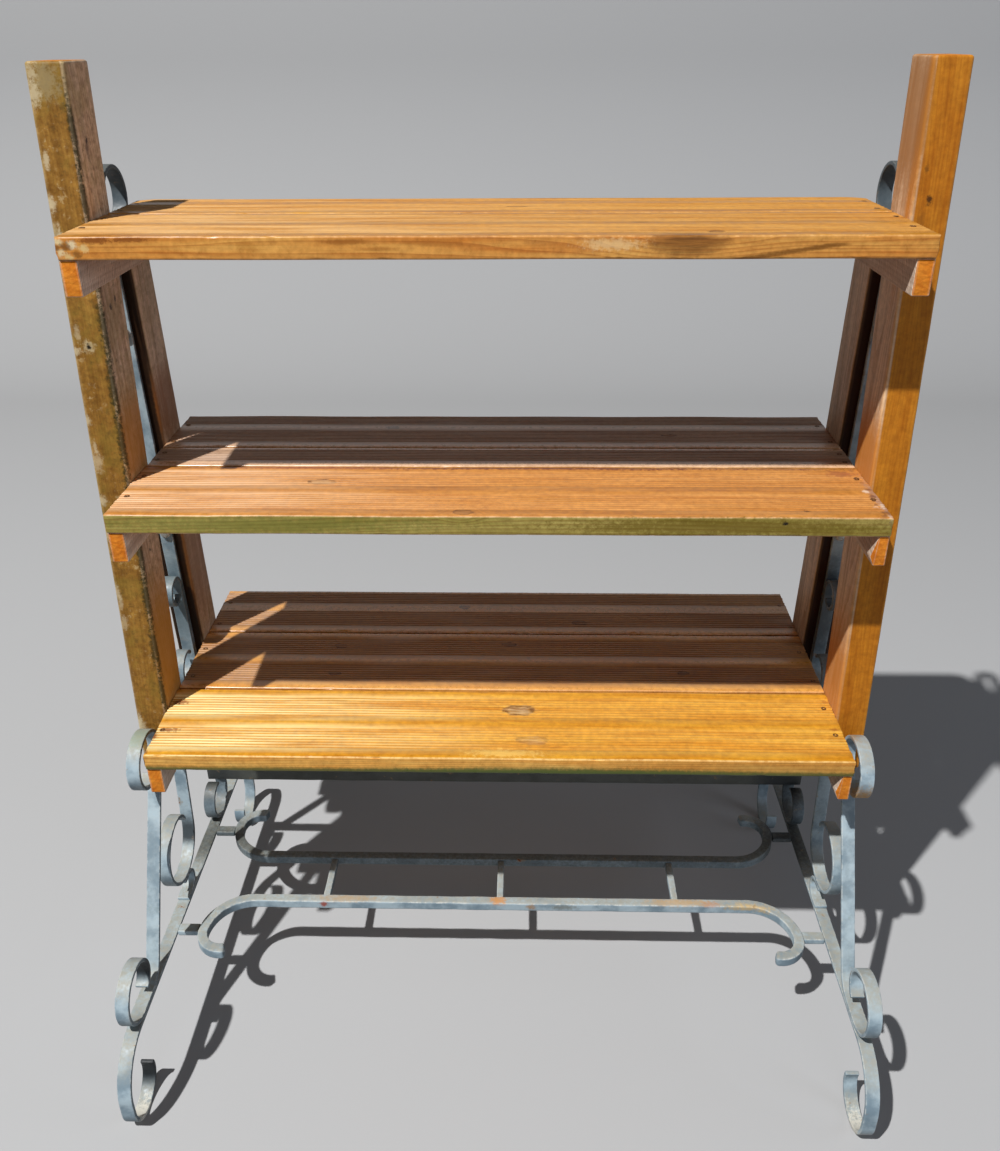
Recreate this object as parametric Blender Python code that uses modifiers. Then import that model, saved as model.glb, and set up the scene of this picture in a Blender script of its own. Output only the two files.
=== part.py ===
"""Plant stand: three shelves of grooved decking between leaning posts, on two scrolled iron end frames.

Metres, +X to the right, +Y to the back, +Z up. The origin is on the floor, midway between the four feet.
"""

import math

import bmesh
import bpy
import numpy as np

# Fits
FIT = 0.0003  # gap left between pieces that touch

# Shelves: decking boards that lie side by side between the posts
SHELF_LENGTH = 0.900
BOARD_THICKNESS = 0.024
BOARD_GAP = 0.004
FULL_BOARD_WIDTH = 0.145
BOTTOM_REAR_BOARD_WIDTH = 0.124
MIDDLE_STRIP_WIDTH = 0.062
MIDDLE_REAR_BOARD_WIDTH = 0.120
TOP_REAR_BOARD_WIDTH = 0.112
BOTTOM_SHELF_TOP = 0.466
MIDDLE_SHELF_TOP = 0.792
TOP_SHELF_TOP = 1.099
BOTTOM_SHELF_FRONT = -0.123
MIDDLE_SHELF_FRONT = -0.098
TOP_SHELF_FRONT = -0.082
EDGE_BAND = 0.014  # smooth strip along each long edge of a full board
CENTRE_BAND = 0.018  # smooth strip along its middle
GROOVE_PITCH = 0.0055
GROOVE_WIDTH = 0.0028
GROOVE_DEPTH = 0.0016
BOARD_EASING = 0.002  # chamfer along the long edges

# Posts: two pairs that lean towards each other
POST_WIDTH = 0.042
POST_DEPTH = 0.066
POST_AXIS = 0.093  # the plane that a pair leans towards
POST_SPREAD = 0.1274  # from that plane to a post's outer face at its foot
POST_LEAN = math.radians(3.74)
POST_FOOT = 0.383
FRONT_POST_TOP = 1.259
REAR_POST_TOP = 1.066
POST_EASING = 0.003

# Cleats: rough battens on the posts' inner faces, which carry the shelf ends
CLEAT_WIDTH = 0.019
CLEAT_HEIGHT = 0.038
CLEAT_SETBACK = 0.002  # from the shelf's front edge to the cleat's nose
CLEAT_CROWN = 0.012  # height of the blunt ridge along the inner face of a bevelled cleat
CLEAT_TOP_BEVEL = 0.007  # how far that face falls back above the ridge
CLEAT_FOOT_BEVEL = 0.005  # and below it

# Iron straps of the end frames
STRAP_WIDTH = 0.018
STRAP_THICKNESS = 0.005
IRON_OUTSET = 0.023  # from the posts' inner faces to the middle of the straps
RAIL_RUN = 0.250  # half of a base rail's straight length
FOOT_DROP_RADIUS = 0.0665
FOOT_SHANK = 0.018  # straight stretch above a foot's curl
FOOT_CURL_RADIUS = 0.038
FOOT_TIP_RADIUS = 0.028
FOOT_TIP_TURN = math.radians(110)
BRACE_HEEL = -0.203  # where a brace's leg lands on the base rail
BRACE_SOLE = 0.032  # length of brace that lies flat on the rail
BRACE_LOOP_RADIUS = 0.0385
BRACE_LOOP_HEIGHT = 0.418  # middle of the upper loop
FRONT_LOOP_RADIUS = 0.053
FRONT_LOOP_UNDERSIDE = 0.167
FRONT_UPRIGHT_TOP = 1.028
REAR_FOOT_LOOP_RADIUS = 0.0335
REAR_FOOT_JOG = math.radians(35)  # the strap leans back before its lower loop
REAR_FOOT_JOG_RADIUS = 0.060
REAR_TOP_LOOP_RADIUS = 0.0345
REAR_LOOP_CLEARANCE = 0.005  # between the rear post's top and the loop above it
LINK_START = -0.042  # front end of the small scroll on the base rail
LINK_RUN = 0.018
UPPER_SCROLL_MIDDLE = 0.518
UPPER_SCROLL_RISE = 0.053
UPPER_SCROLL_DROP = 0.075
UPPER_SCROLL_TOP_RADIUS = 0.0195
UPPER_SCROLL_FOOT_RADIUS = 0.0275
LOOP_TURN = math.radians(200)  # turn of a loop at its full radius
TIP_TURN = math.radians(140)  # further turn while the loop tightens
TIP_TIGHTENING = 0.5  # radius at the tip over the loop's radius
BEND_STEP = math.radians(12)

# Stretchers, rungs and tabs that tie the two base rails together
STRETCHER_BAR = 0.014
FRONT_STRETCHER_OFFSET = 0.038  # from the middle of the stand
REAR_STRETCHER_OFFSET = 0.051
STRETCHER_BEND_RADIUS = 0.062
STRETCHER_HOOK_RADIUS = 0.031
STRETCHER_HOOK_TURN = math.radians(105)
STRETCHER_TIP = 0.016  # width of the blunt tips, which are upset a little
STRETCHER_FLARE = 0.030
RUNG_BAR = 0.010
RUNG_SPACING = 0.260
TAB_LENGTH = 0.030
TAB_WIDTH = 0.015
TAB_THICKNESS = 0.009
TAB_SETBACK = 0.006  # from the hooks' outermost points towards the middle of the stand
CROSS_BAR_HEIGHT = 0.024
CROSS_BAR_THICKNESS = 0.008

# Fasteners
COACH_SHANK_RADIUS = 0.003
COACH_SHANK_LENGTH = 0.040
COACH_HEAD_RADIUS = 0.0058
COACH_HEAD_HEIGHT = 0.004
FRONT_COACH_LOW = 0.536
FRONT_COACH_HIGH = 0.916
REAR_COACH_LOW = 0.656
REAR_COACH_HIGH = 0.946
CLEAT_SCREW_RADIUS = 0.0022
CLEAT_SCREW_LENGTH = 0.045
CLEAT_SCREW_HEAD_RADIUS = 0.0045
CLEAT_SCREW_CROWN_RADIUS = 0.0027  # flat on top of the rounded head
CLEAT_SCREW_HEAD_HEIGHT = 0.0028
SCREW_POINT = 0.006
SCREW_SIDES = 12
DRILL_LEAD = 0.001  # how far a drill starts outside the face

# Turns the plane of a flat outline into the stand's side plane: outline x to Y, y to Z, thickness to X
SIDE_ON = (math.pi / 2, 0.0, math.pi / 2)
# Turns it into the end plane of a batten: outline x to X, y to Z, thickness to Y
END_ON = (math.pi / 2, 0.0, 0.0)

IRON_X = SHELF_LENGTH / 2 + IRON_OUTSET
POST_X = SHELF_LENGTH / 2 + POST_WIDTH / 2
CLEAT_X = SHELF_LENGTH / 2 - FIT - CLEAT_WIDTH / 2
RAIL_HEIGHT = FOOT_DROP_RADIUS + FOOT_SHANK + FOOT_CURL_RADIUS + STRAP_THICKNESS / 2
ON_RAIL = RAIL_HEIGHT + STRAP_THICKNESS + FIT  # middle of a strap that lies on the base rail
REAR_TOP_LOOP_HEIGHT = REAR_POST_TOP + REAR_LOOP_CLEARANCE + STRAP_THICKNESS / 2 + REAR_TOP_LOOP_RADIUS
SIDES = {"left": -1, "right": 1}

for leftover in list(bpy.data.objects):
    bpy.data.objects.remove(leftover, do_unlink=True)

parts = bpy.data.collections.new("plant_stand")
cutters = bpy.data.collections.new("cutters")
bpy.context.scene.collection.children.link(parts)
bpy.context.scene.collection.children.link(cutters)
cutters.hide_render = True

stand = bpy.data.objects.new("stand", None)
parts.objects.link(stand)


def make_material(name, colour, roughness, metallic=0.0):
    material = bpy.data.materials.new(name)
    material.use_nodes = True
    shader = material.node_tree.nodes["Principled BSDF"]
    shader.inputs["Base Color"].default_value = (*colour, 1.0)
    shader.inputs["Roughness"].default_value = roughness
    shader.inputs["Metallic"].default_value = metallic
    return material


DECKING = make_material("oiled_decking", (0.68, 0.33, 0.07), 0.5)
POST_WOOD = make_material("stained_post", (0.26, 0.15, 0.04), 0.6)
SAWN_WOOD = make_material("sawn_cleat", (0.30, 0.17, 0.08), 0.8)
PAINTED_IRON = make_material("painted_iron", (0.34, 0.44, 0.50), 0.45, 0.2)
PLATED_STEEL = make_material("plated_steel", (0.50, 0.48, 0.44), 0.35, 1.0)


def add_part(name, data, material, location=(0.0, 0.0, 0.0), rotation=(0.0, 0.0, 0.0)):
    """Put a mesh or curve into the stand as a named part."""
    part = bpy.data.objects.new(name, data)
    part.location = location
    part.rotation_euler = rotation
    part.parent = stand
    if not data.materials:
        data.materials.append(material)
    parts.objects.link(part)
    return part


def flat_curve(name, outline, thickness):
    """A flat outline, filled and thickened evenly to both sides of its plane."""
    curve = bpy.data.curves.new(name, "CURVE")
    curve.dimensions = "2D"
    curve.fill_mode = "BOTH"
    curve.extrude = thickness / 2
    spline = curve.splines.new("POLY")
    spline.points.add(len(outline) - 1)
    for point, (along, up) in zip(spline.points, outline):
        point.co = (along, up, 0.0, 1.0)
    spline.use_cyclic_u = True
    return curve


def flat_mesh(name, outline, thickness):
    """The same solid as a welded mesh, for pieces that are bevelled or drilled."""
    pattern = bpy.data.objects.new(name + "_pattern", flat_curve(name, outline, thickness))
    cutters.objects.link(pattern)
    graph = bpy.context.evaluated_depsgraph_get()
    mesh = bpy.data.meshes.new_from_object(pattern.evaluated_get(graph))
    bpy.data.objects.remove(pattern, do_unlink=True)
    welded = bmesh.new()
    welded.from_mesh(mesh)
    bmesh.ops.remove_doubles(welded, verts=welded.verts, dist=1e-6)
    bmesh.ops.recalc_face_normals(welded, faces=welded.faces)
    welded.to_mesh(mesh)
    welded.free()
    mesh.name = name
    return mesh


def block_mesh(name, size):
    """A rectangular bar about its own middle."""
    cube = bmesh.new()
    bmesh.ops.create_cube(cube, size=1.0)
    bmesh.ops.scale(cube, vec=size, verts=cube.verts)
    mesh = bpy.data.meshes.new(name)
    cube.to_mesh(mesh)
    cube.free()
    return mesh


def ease(part, width):
    bevel = part.modifiers.new("easing", "BEVEL")
    bevel.width = width
    bevel.segments = 2
    bevel.limit_method = "ANGLE"


def drill(part, drill_bit):
    hole = part.modifiers.new(drill_bit.name, "BOOLEAN")
    hole.operation = "DIFFERENCE"
    hole.object = drill_bit


def add_drill_bit(screw, radius, length):
    """A cutter along a screw's axis, which clears its shank by the fit."""
    bit = bmesh.new()
    depth = length + FIT + DRILL_LEAD
    bmesh.ops.create_cone(
        bit, cap_ends=True, segments=SCREW_SIDES, radius1=radius + FIT, radius2=radius + FIT, depth=depth
    )
    bmesh.ops.translate(bit, vec=(0.0, 0.0, DRILL_LEAD - depth / 2), verts=bit.verts)
    mesh = bpy.data.meshes.new(screw.name + "_hole")
    bit.to_mesh(mesh)
    bit.free()
    cutter = bpy.data.objects.new(mesh.name, mesh)
    cutter.location = screw.location
    cutter.rotation_euler = screw.rotation_euler
    cutter.hide_render = True
    cutter.display_type = "WIRE"
    cutters.objects.link(cutter)
    return cutter


def run(length):
    """A straight stretch of bar."""
    return (length, 0.0, 0.0, 0.0)


def bend(turn, radius, last_radius=None):
    """A curved stretch of bar that turns left, or right where the turn is negative."""
    return (0.0, turn, radius, radius if last_radius is None else last_radius)


def loop(side, radius):
    """The scroll at a strap's end: a loop to the left (1) or the right (-1) that tightens to its tip."""
    tip = radius * TIP_TIGHTENING
    return bend(side * LOOP_TURN, radius), bend(side * TIP_TURN, radius, tip)


def forge(start, heading, *stretches):
    """Middle line of a bar that leaves a point along a heading and follows its stretches in turn."""
    path = [np.array(start)]
    for length, turn, radius, last_radius in stretches:
        if length:
            path.append(path[-1] + length * np.array([math.cos(heading), math.sin(heading)]))
            continue
        steps = math.ceil(abs(turn) / BEND_STEP)
        for step in range(steps):
            reach = math.copysign(radius + (last_radius - radius) * (step + 0.5) / steps, turn)
            left = np.array([-math.sin(heading), math.cos(heading)])
            heading += turn / steps
            new_left = np.array([-math.sin(heading), math.cos(heading)])
            path.append(path[-1] + reach * (left - new_left))
    return np.array(path)


def there_and_back(one_way, other_way):
    """One path from two that leave the same point in opposite directions."""
    return np.vstack([one_way[:0:-1], other_way])


def bar_outline(path, thickness):
    """Outline of a bar about its middle line, with one thickness or with a thickness at each point."""
    ahead = np.diff(path, axis=0)
    ahead /= np.linalg.norm(ahead, axis=1, keepdims=True)
    left = np.column_stack([-ahead[:, 1], ahead[:, 0]])
    mitre = (left[:-1] + left[1:]) / (1 + (left[:-1] * left[1:]).sum(axis=1, keepdims=True))
    sideways = np.vstack([left[:1], mitre, left[-1:]])
    sideways *= np.broadcast_to(thickness, len(path))[:, None] / 2
    return np.vstack([path - sideways, (path + sideways)[::-1]])


def outer_reach(height):
    """Distance from the posts' plane to a post's outer face at a height."""
    return POST_SPREAD - (height - POST_FOOT) * math.tan(POST_LEAN)


def inner_reach(height, clearance=0.0):
    """Distance to a post's inner face, or to a line that runs a clearance in front of that face."""
    return outer_reach(height) - POST_DEPTH - clearance / math.cos(POST_LEAN)


def front_side(reach):
    return POST_AXIS - reach


def rear_side(reach):
    return POST_AXIS + reach


def board_outline(width):
    """Section of a board from its front edge, top face at zero: two bands of V grooves beside smooth strips.

    A narrow board is a full one that was ripped, so its grooves stop where it was cut.
    """
    half = FULL_BOARD_WIDTH / 2
    band = half - EDGE_BAND - CENTRE_BAND / 2
    count = int(band // GROOVE_PITCH)
    margin = (band - count * GROOVE_PITCH) / 2
    first = np.array([EDGE_BAND, half + CENTRE_BAND / 2])[:, None] + margin
    centres = (first + GROOVE_PITCH * (np.arange(count) + 0.5)).ravel()
    centres = centres[centres + GROOVE_WIDTH / 2 < width - 2 * BOARD_EASING]
    grooves = []
    for centre in centres[::-1]:
        rear_lip, front_lip = centre + GROOVE_WIDTH / 2, centre - GROOVE_WIDTH / 2
        grooves += [(rear_lip, 0.0), (centre, -GROOVE_DEPTH), (front_lip, 0.0)]
    low, ease_in = -BOARD_THICKNESS, BOARD_EASING
    below = [(ease_in, low), (width - ease_in, low)]
    rear = [(width, low + ease_in), (width, -ease_in), (width - ease_in, 0.0)]
    front = [(ease_in, 0.0), (0.0, -ease_in), (0.0, low + ease_in)]
    return below + rear + grooves + front


def add_shelf(shelf, top, front, boards):
    """Lay the boards of one shelf from front to back, with a gap between neighbours."""
    edge = front
    for name, width in boards:
        board = f"{shelf}_{name}_board"
        curve = flat_curve(board, board_outline(width), SHELF_LENGTH - 2 * FIT)
        add_part(board, curve, DECKING, (0.0, edge, top), SIDE_ON)
        edge += width + BOARD_GAP


def add_post(name, side, place, top):
    """A leaning post, cut level at both ends. place puts a reach on the front or the rear side."""
    heights = (POST_FOOT, top)
    outline = [(place(outer_reach(height)), height) for height in heights]
    outline += [(place(inner_reach(height)), height) for height in reversed(heights)]
    post = add_part(name, flat_mesh(name, outline, POST_WIDTH), POST_WOOD, (side * POST_X, 0, 0), SIDE_ON)
    ease(post, POST_EASING)
    return post


def cleat_outline(side, bevelled):
    """Section of a batten about its middle, top at zero. A bevelled one has a ridge on its inner face."""
    outer, inner = side * CLEAT_WIDTH / 2, -side * CLEAT_WIDTH / 2
    if not bevelled:
        return [(outer, 0.0), (outer, -CLEAT_HEIGHT), (inner, -CLEAT_HEIGHT), (inner, 0.0)]
    return [
        (outer, 0.0),
        (outer, -CLEAT_HEIGHT),
        (inner + side * CLEAT_FOOT_BEVEL, -CLEAT_HEIGHT),
        (inner, CLEAT_CROWN - CLEAT_HEIGHT),
        (inner + side * CLEAT_TOP_BEVEL, 0.0),
    ]


def add_cleat(name, side, shelf_top, shelf_front, bevelled):
    """A batten under a shelf's end, from the shelf's front edge to the rear post's back face."""
    top = shelf_top - BOARD_THICKNESS - FIT
    nose = shelf_front + CLEAT_SETBACK
    tail = rear_side(outer_reach(top))
    mesh = flat_mesh(name, cleat_outline(side, bevelled), tail - nose)
    return add_part(name, mesh, SAWN_WOOD, (side * CLEAT_X, (nose + tail) / 2, top), END_ON)


def base_rail_path():
    """A rail whose two ends drop and curl under into feet."""
    rear_half = forge(
        (0.0, RAIL_HEIGHT),
        0.0,
        run(RAIL_RUN),
        bend(-math.pi / 2, FOOT_DROP_RADIUS),
        run(FOOT_SHANK),
        bend(-math.pi / 2, FOOT_CURL_RADIUS),
        bend(-FOOT_TIP_TURN, FOOT_CURL_RADIUS, FOOT_TIP_RADIUS),
    )
    return there_and_back(rear_half * (-1, 1), rear_half)


def front_brace_path():
    """A leaning leg with a loop at each end: the lower one stands on the rail, the upper one on the post."""
    outer_radius = BRACE_LOOP_RADIUS + STRAP_THICKNESS / 2
    to_post = (outer_radius + FIT) / math.cos(POST_LEAN)
    loop_middle = np.array([front_side(outer_reach(BRACE_LOOP_HEIGHT)) - to_post, BRACE_LOOP_HEIGHT])
    heel = np.array([BRACE_HEEL, ON_RAIL])
    leg = loop_middle - heel - (0.0, BRACE_LOOP_RADIUS)
    slope = math.atan2(leg[1], leg[0])
    sole = forge(heel, math.pi, run(BRACE_SOLE), *loop(-1, BRACE_LOOP_RADIUS))
    upper = forge(
        heel, 0.0, bend(slope, BRACE_LOOP_RADIUS), run(np.linalg.norm(leg)), *loop(1, BRACE_LOOP_RADIUS)
    )
    return there_and_back(sole, upper)


def front_upright_path():
    """A strap up the front post's back face, which ends below in a loop towards the front."""
    loop_middle = FRONT_LOOP_UNDERSIDE + STRAP_THICKNESS / 2 + FRONT_LOOP_RADIUS
    start = loop_middle - FRONT_LOOP_RADIUS * math.sin(POST_LEAN)
    middle = front_side(inner_reach(start, FIT + STRAP_THICKNESS / 2))
    upwards = math.pi / 2 - POST_LEAN
    above = forge((middle, start), upwards, run((FRONT_UPRIGHT_TOP - start) / math.cos(POST_LEAN)))
    below = forge((middle, start), upwards - math.pi, *loop(-1, FRONT_LOOP_RADIUS))
    return there_and_back(below, above)


def rear_upright_start():
    """Lower end of the rear upright's straight stretch.

    Below it the strap leans back by the jog and then loops to the front, so that the loop stands on the rail.
    """
    downwards = POST_LEAN - math.pi / 2
    leaning = downwards + REAR_FOOT_JOG
    jog_drop = REAR_FOOT_JOG_RADIUS * math.cos(downwards)
    loop_drop = (REAR_FOOT_JOG_RADIUS + REAR_FOOT_LOOP_RADIUS) * math.cos(leaning)
    height = ON_RAIL + REAR_FOOT_LOOP_RADIUS + loop_drop - jog_drop
    return np.array([rear_side(inner_reach(height, FIT + STRAP_THICKNESS / 2)), height])


def rear_upright_path():
    """A strap up the rear post's front face: a loop on the base rail below, a loop to the back on top."""
    start = rear_upright_start()
    high = REAR_TOP_LOOP_HEIGHT - REAR_TOP_LOOP_RADIUS * math.sin(POST_LEAN)
    upwards = math.pi / 2 + POST_LEAN
    length = (high - start[1]) / math.cos(POST_LEAN)
    above = forge(start, upwards, run(length), *loop(-1, REAR_TOP_LOOP_RADIUS))
    jog = bend(REAR_FOOT_JOG, REAR_FOOT_JOG_RADIUS)
    below = forge(start, upwards - math.pi, jog, *loop(-1, REAR_FOOT_LOOP_RADIUS))
    return there_and_back(below, above)


def link_scroll_path():
    """A small open scroll between the base rail and the underside of the front upright's loop."""
    top = FRONT_LOOP_UNDERSIDE - FIT - STRAP_THICKNESS / 2
    radius = (top - ON_RAIL) / 2
    return forge((LINK_START, ON_RAIL), 0.0, run(LINK_RUN), bend(math.pi, radius), run(LINK_RUN))


def upper_scroll_path():
    """A scroll with its back against the rear upright and a loop towards the front at each end."""
    clearance = 2 * FIT + 1.5 * STRAP_THICKNESS
    start = (rear_side(inner_reach(UPPER_SCROLL_MIDDLE, clearance)), UPPER_SCROLL_MIDDLE)
    upwards = math.pi / 2 + POST_LEAN
    above = forge(start, upwards, run(UPPER_SCROLL_RISE), *loop(1, UPPER_SCROLL_TOP_RADIUS))
    below = forge(start, upwards - math.pi, run(UPPER_SCROLL_DROP), *loop(-1, UPPER_SCROLL_FOOT_RADIUS))
    return there_and_back(below, above)


def add_strap(name, path, side):
    mesh = flat_mesh(name, bar_outline(path, STRAP_THICKNESS), STRAP_WIDTH)
    return add_part(name, mesh, PAINTED_IRON, (side * IRON_X, 0.0, 0.0), SIDE_ON)


def add_stretchers():
    """Two bars between the end frames, straight in the middle, with hooked ends that swell to blunt tips."""
    reach = IRON_X - STRAP_WIDTH / 2 - TAB_LENGTH - 2 * FIT - STRETCHER_BAR / 2
    half = forge(
        (0.0, 0.0),
        0.0,
        run(reach - STRETCHER_BEND_RADIUS),
        bend(math.pi / 2, STRETCHER_BEND_RADIUS),
        bend(STRETCHER_HOOK_TURN, STRETCHER_HOOK_RADIUS),
    )
    path = there_and_back(half * (-1, 1), half)
    walked = np.concatenate([[0.0], np.cumsum(np.linalg.norm(np.diff(path, axis=0), axis=1))])
    to_tip = np.minimum(walked, walked[-1] - walked)
    thickness = np.interp(to_tip, [0.0, STRETCHER_FLARE], [STRETCHER_TIP, STRETCHER_BAR])
    curve = flat_curve("stretcher", bar_outline(path, thickness), STRETCHER_BAR)
    front_place = (0.0, -FRONT_STRETCHER_OFFSET, RAIL_HEIGHT)
    add_part("front_stretcher", curve, PAINTED_IRON, front_place, (0.0, 0.0, math.pi))
    add_part("rear_stretcher", curve, PAINTED_IRON, (0.0, REAR_STRETCHER_OFFSET, RAIL_HEIGHT))


def add_rungs():
    """Three short bars across the gap between the stretchers."""
    length = FRONT_STRETCHER_OFFSET + REAR_STRETCHER_OFFSET - STRETCHER_BAR - 2 * FIT
    middle = (REAR_STRETCHER_OFFSET - FRONT_STRETCHER_OFFSET) / 2
    for name, step in (("left_rung", -1), ("middle_rung", 0), ("right_rung", 1)):
        mesh = block_mesh(name, (RUNG_BAR, length, RUNG_BAR))
        add_part(name, mesh, PAINTED_IRON, (step * RUNG_SPACING, middle, RAIL_HEIGHT))


def add_tabs():
    """Four flat tabs that join the hooks of the stretchers to the base rails."""
    middle = IRON_X - STRAP_WIDTH / 2 - FIT - TAB_LENGTH / 2
    hooks = {
        "front": TAB_SETBACK - FRONT_STRETCHER_OFFSET - STRETCHER_BEND_RADIUS,
        "rear": REAR_STRETCHER_OFFSET + STRETCHER_BEND_RADIUS - TAB_SETBACK,
    }
    for name, side in SIDES.items():
        for end, abreast in hooks.items():
            tab = f"{name}_{end}_tab"
            mesh = block_mesh(tab, (TAB_LENGTH, TAB_WIDTH, TAB_THICKNESS))
            add_part(tab, mesh, PAINTED_IRON, (side * middle, abreast, RAIL_HEIGHT))


def add_cross_bar():
    """A flat bar on edge across the stand, welded to the front of the rear uprights above their jogs."""
    top = rear_upright_start()[1]
    back = rear_side(inner_reach(top, 2 * FIT + STRAP_THICKNESS))
    mesh = block_mesh("rear_cross_bar", (2 * IRON_X + STRAP_WIDTH, CROSS_BAR_THICKNESS, CROSS_BAR_HEIGHT))
    place = (0.0, back - CROSS_BAR_THICKNESS / 2, top - CROSS_BAR_HEIGHT / 2)
    add_part("rear_cross_bar", mesh, PAINTED_IRON, place)


def shank_mesh(name, radius, length):
    """A pointed shank below the origin, as a closed turned solid."""
    profile = [(0.0, 0.0), (radius, 0.0), (radius, SCREW_POINT - length), (0.0, -length)]
    return turned_mesh(name, profile)


def turned_mesh(name, profile):
    """A closed solid turned about Z from a profile that runs down its outer side."""
    line = bmesh.new()
    corners = [line.verts.new((radius, 0.0, height)) for radius, height in profile]
    for one, other in zip(corners, corners[1:]):
        line.edges.new((one, other))
    bmesh.ops.spin(
        line,
        geom=line.verts[:] + line.edges[:],
        axis=(0.0, 0.0, 1.0),
        cent=(0.0, 0.0, 0.0),
        steps=SCREW_SIDES,
        angle=math.tau,
        use_merge=True,
    )
    bmesh.ops.remove_doubles(line, verts=line.verts, dist=1e-6)
    bmesh.ops.recalc_face_normals(line, faces=line.faces)
    mesh = bpy.data.meshes.new(name)
    line.to_mesh(mesh)
    line.free()
    return mesh


def coach_screw_mesh():
    """A hexagon head joined to a pointed shank, with the head's underside at the origin."""
    sunk = COACH_HEAD_HEIGHT / 2
    shank = shank_mesh("coach_shank", COACH_SHANK_RADIUS, COACH_SHANK_LENGTH + sunk)
    head = bmesh.new()
    bmesh.ops.create_cone(
        head,
        cap_ends=True,
        segments=6,
        radius1=COACH_HEAD_RADIUS,
        radius2=COACH_HEAD_RADIUS,
        depth=COACH_HEAD_HEIGHT,
    )
    bmesh.ops.translate(head, vec=(0.0, 0.0, COACH_HEAD_HEIGHT / 2), verts=head.verts)
    mesh = bpy.data.meshes.new("coach_head")
    head.to_mesh(mesh)
    head.free()
    shank_piece = bpy.data.objects.new("coach_shank", shank)
    shank_piece.location = (0.0, 0.0, sunk)
    head_piece = bpy.data.objects.new("coach_head", mesh)
    for piece in (shank_piece, head_piece):
        cutters.objects.link(piece)
    joined = head_piece.modifiers.new("shank", "BOOLEAN")
    joined.operation = "UNION"
    joined.object = shank_piece
    bpy.context.view_layer.update()
    graph = bpy.context.evaluated_depsgraph_get()
    screw = bpy.data.meshes.new_from_object(head_piece.evaluated_get(graph))
    for piece in (shank_piece, head_piece):
        bpy.data.objects.remove(piece, do_unlink=True)
    screw.name = "coach_screw"
    return screw


def cleat_screw_mesh():
    """A pan head and a pointed shank, with the head's underside at the origin."""
    profile = [
        (0.0, CLEAT_SCREW_HEAD_HEIGHT),
        (CLEAT_SCREW_CROWN_RADIUS, CLEAT_SCREW_HEAD_HEIGHT),
        (CLEAT_SCREW_HEAD_RADIUS, CLEAT_SCREW_HEAD_HEIGHT / 3),
        (CLEAT_SCREW_HEAD_RADIUS, 0.0),
        (CLEAT_SCREW_RADIUS, 0.0),
        (CLEAT_SCREW_RADIUS, SCREW_POINT - CLEAT_SCREW_LENGTH),
        (0.0, -CLEAT_SCREW_LENGTH),
    ]
    return turned_mesh("cleat_screw", profile)


def add_coach_screw(name, mesh, side, facing, height, post, strap):
    """Drive a coach screw square through an upright into its post.

    facing is 1 where the head looks to the back, on a front upright, and -1 on a rear upright.
    """
    head_clearance = 2 * FIT + STRAP_THICKNESS
    reach = inner_reach(height, head_clearance)
    place = front_side(reach) if facing == 1 else rear_side(reach)
    rotation = (-facing * (math.pi / 2 + POST_LEAN), 0.0, 0.0)
    screw = add_part(name, mesh, PLATED_STEEL, (side * IRON_X, place, height), rotation)
    bit = add_drill_bit(screw, COACH_SHANK_RADIUS, COACH_SHANK_LENGTH)
    drill(strap, bit)
    drill(post, bit)


def add_cleat_screw(name, mesh, side, place, shelf_top, cleat, post):
    """Drive a screw outwards through a cleat into a post, half way up the cleat."""
    height = shelf_top - BOARD_THICKNESS - FIT - CLEAT_HEIGHT / 2
    middle = (outer_reach(height) + inner_reach(height)) / 2
    inner_face = CLEAT_X - CLEAT_WIDTH / 2 - FIT
    rotation = (0.0, -side * math.pi / 2, 0.0)
    screw = add_part(name, mesh, PLATED_STEEL, (side * inner_face, place(middle), height), rotation)
    bit = add_drill_bit(screw, CLEAT_SCREW_RADIUS, CLEAT_SCREW_LENGTH)
    drill(cleat, bit)
    drill(post, bit)


def add_end(name, side):
    """One end of the stand: the iron frame, the pair of posts, the cleats, and the screws that join them."""
    add_strap(f"{name}_base_rail", base_rail_path(), side)
    add_strap(f"{name}_front_brace", front_brace_path(), side)
    add_strap(f"{name}_link_scroll", link_scroll_path(), side)
    add_strap(f"{name}_upper_scroll", upper_scroll_path(), side)
    front_upright = add_strap(f"{name}_front_upright", front_upright_path(), side)
    rear_upright = add_strap(f"{name}_rear_upright", rear_upright_path(), side)
    front_post = add_post(f"{name}_front_post", side, front_side, FRONT_POST_TOP)
    rear_post = add_post(f"{name}_rear_post", side, rear_side, REAR_POST_TOP)
    for level, height in (("low", FRONT_COACH_LOW), ("high", FRONT_COACH_HIGH)):
        screw = f"{name}_front_coach_screw_{level}"
        add_coach_screw(screw, COACH_SCREW, side, 1, height, front_post, front_upright)
    for level, height in (("low", REAR_COACH_LOW), ("high", REAR_COACH_HIGH)):
        screw = f"{name}_rear_coach_screw_{level}"
        add_coach_screw(screw, COACH_SCREW, side, -1, height, rear_post, rear_upright)
    for shelf, top, front, _ in SHELVES:
        cleat = add_cleat(f"{name}_{shelf}_cleat", side, top, front, (name, shelf) in BEVELLED_CLEATS)
        screw = f"{name}_{shelf}_cleat_screw"
        add_cleat_screw(f"{screw}_front", CLEAT_SCREW, side, front_side, top, cleat, front_post)
        add_cleat_screw(f"{screw}_rear", CLEAT_SCREW, side, rear_side, top, cleat, rear_post)


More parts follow.
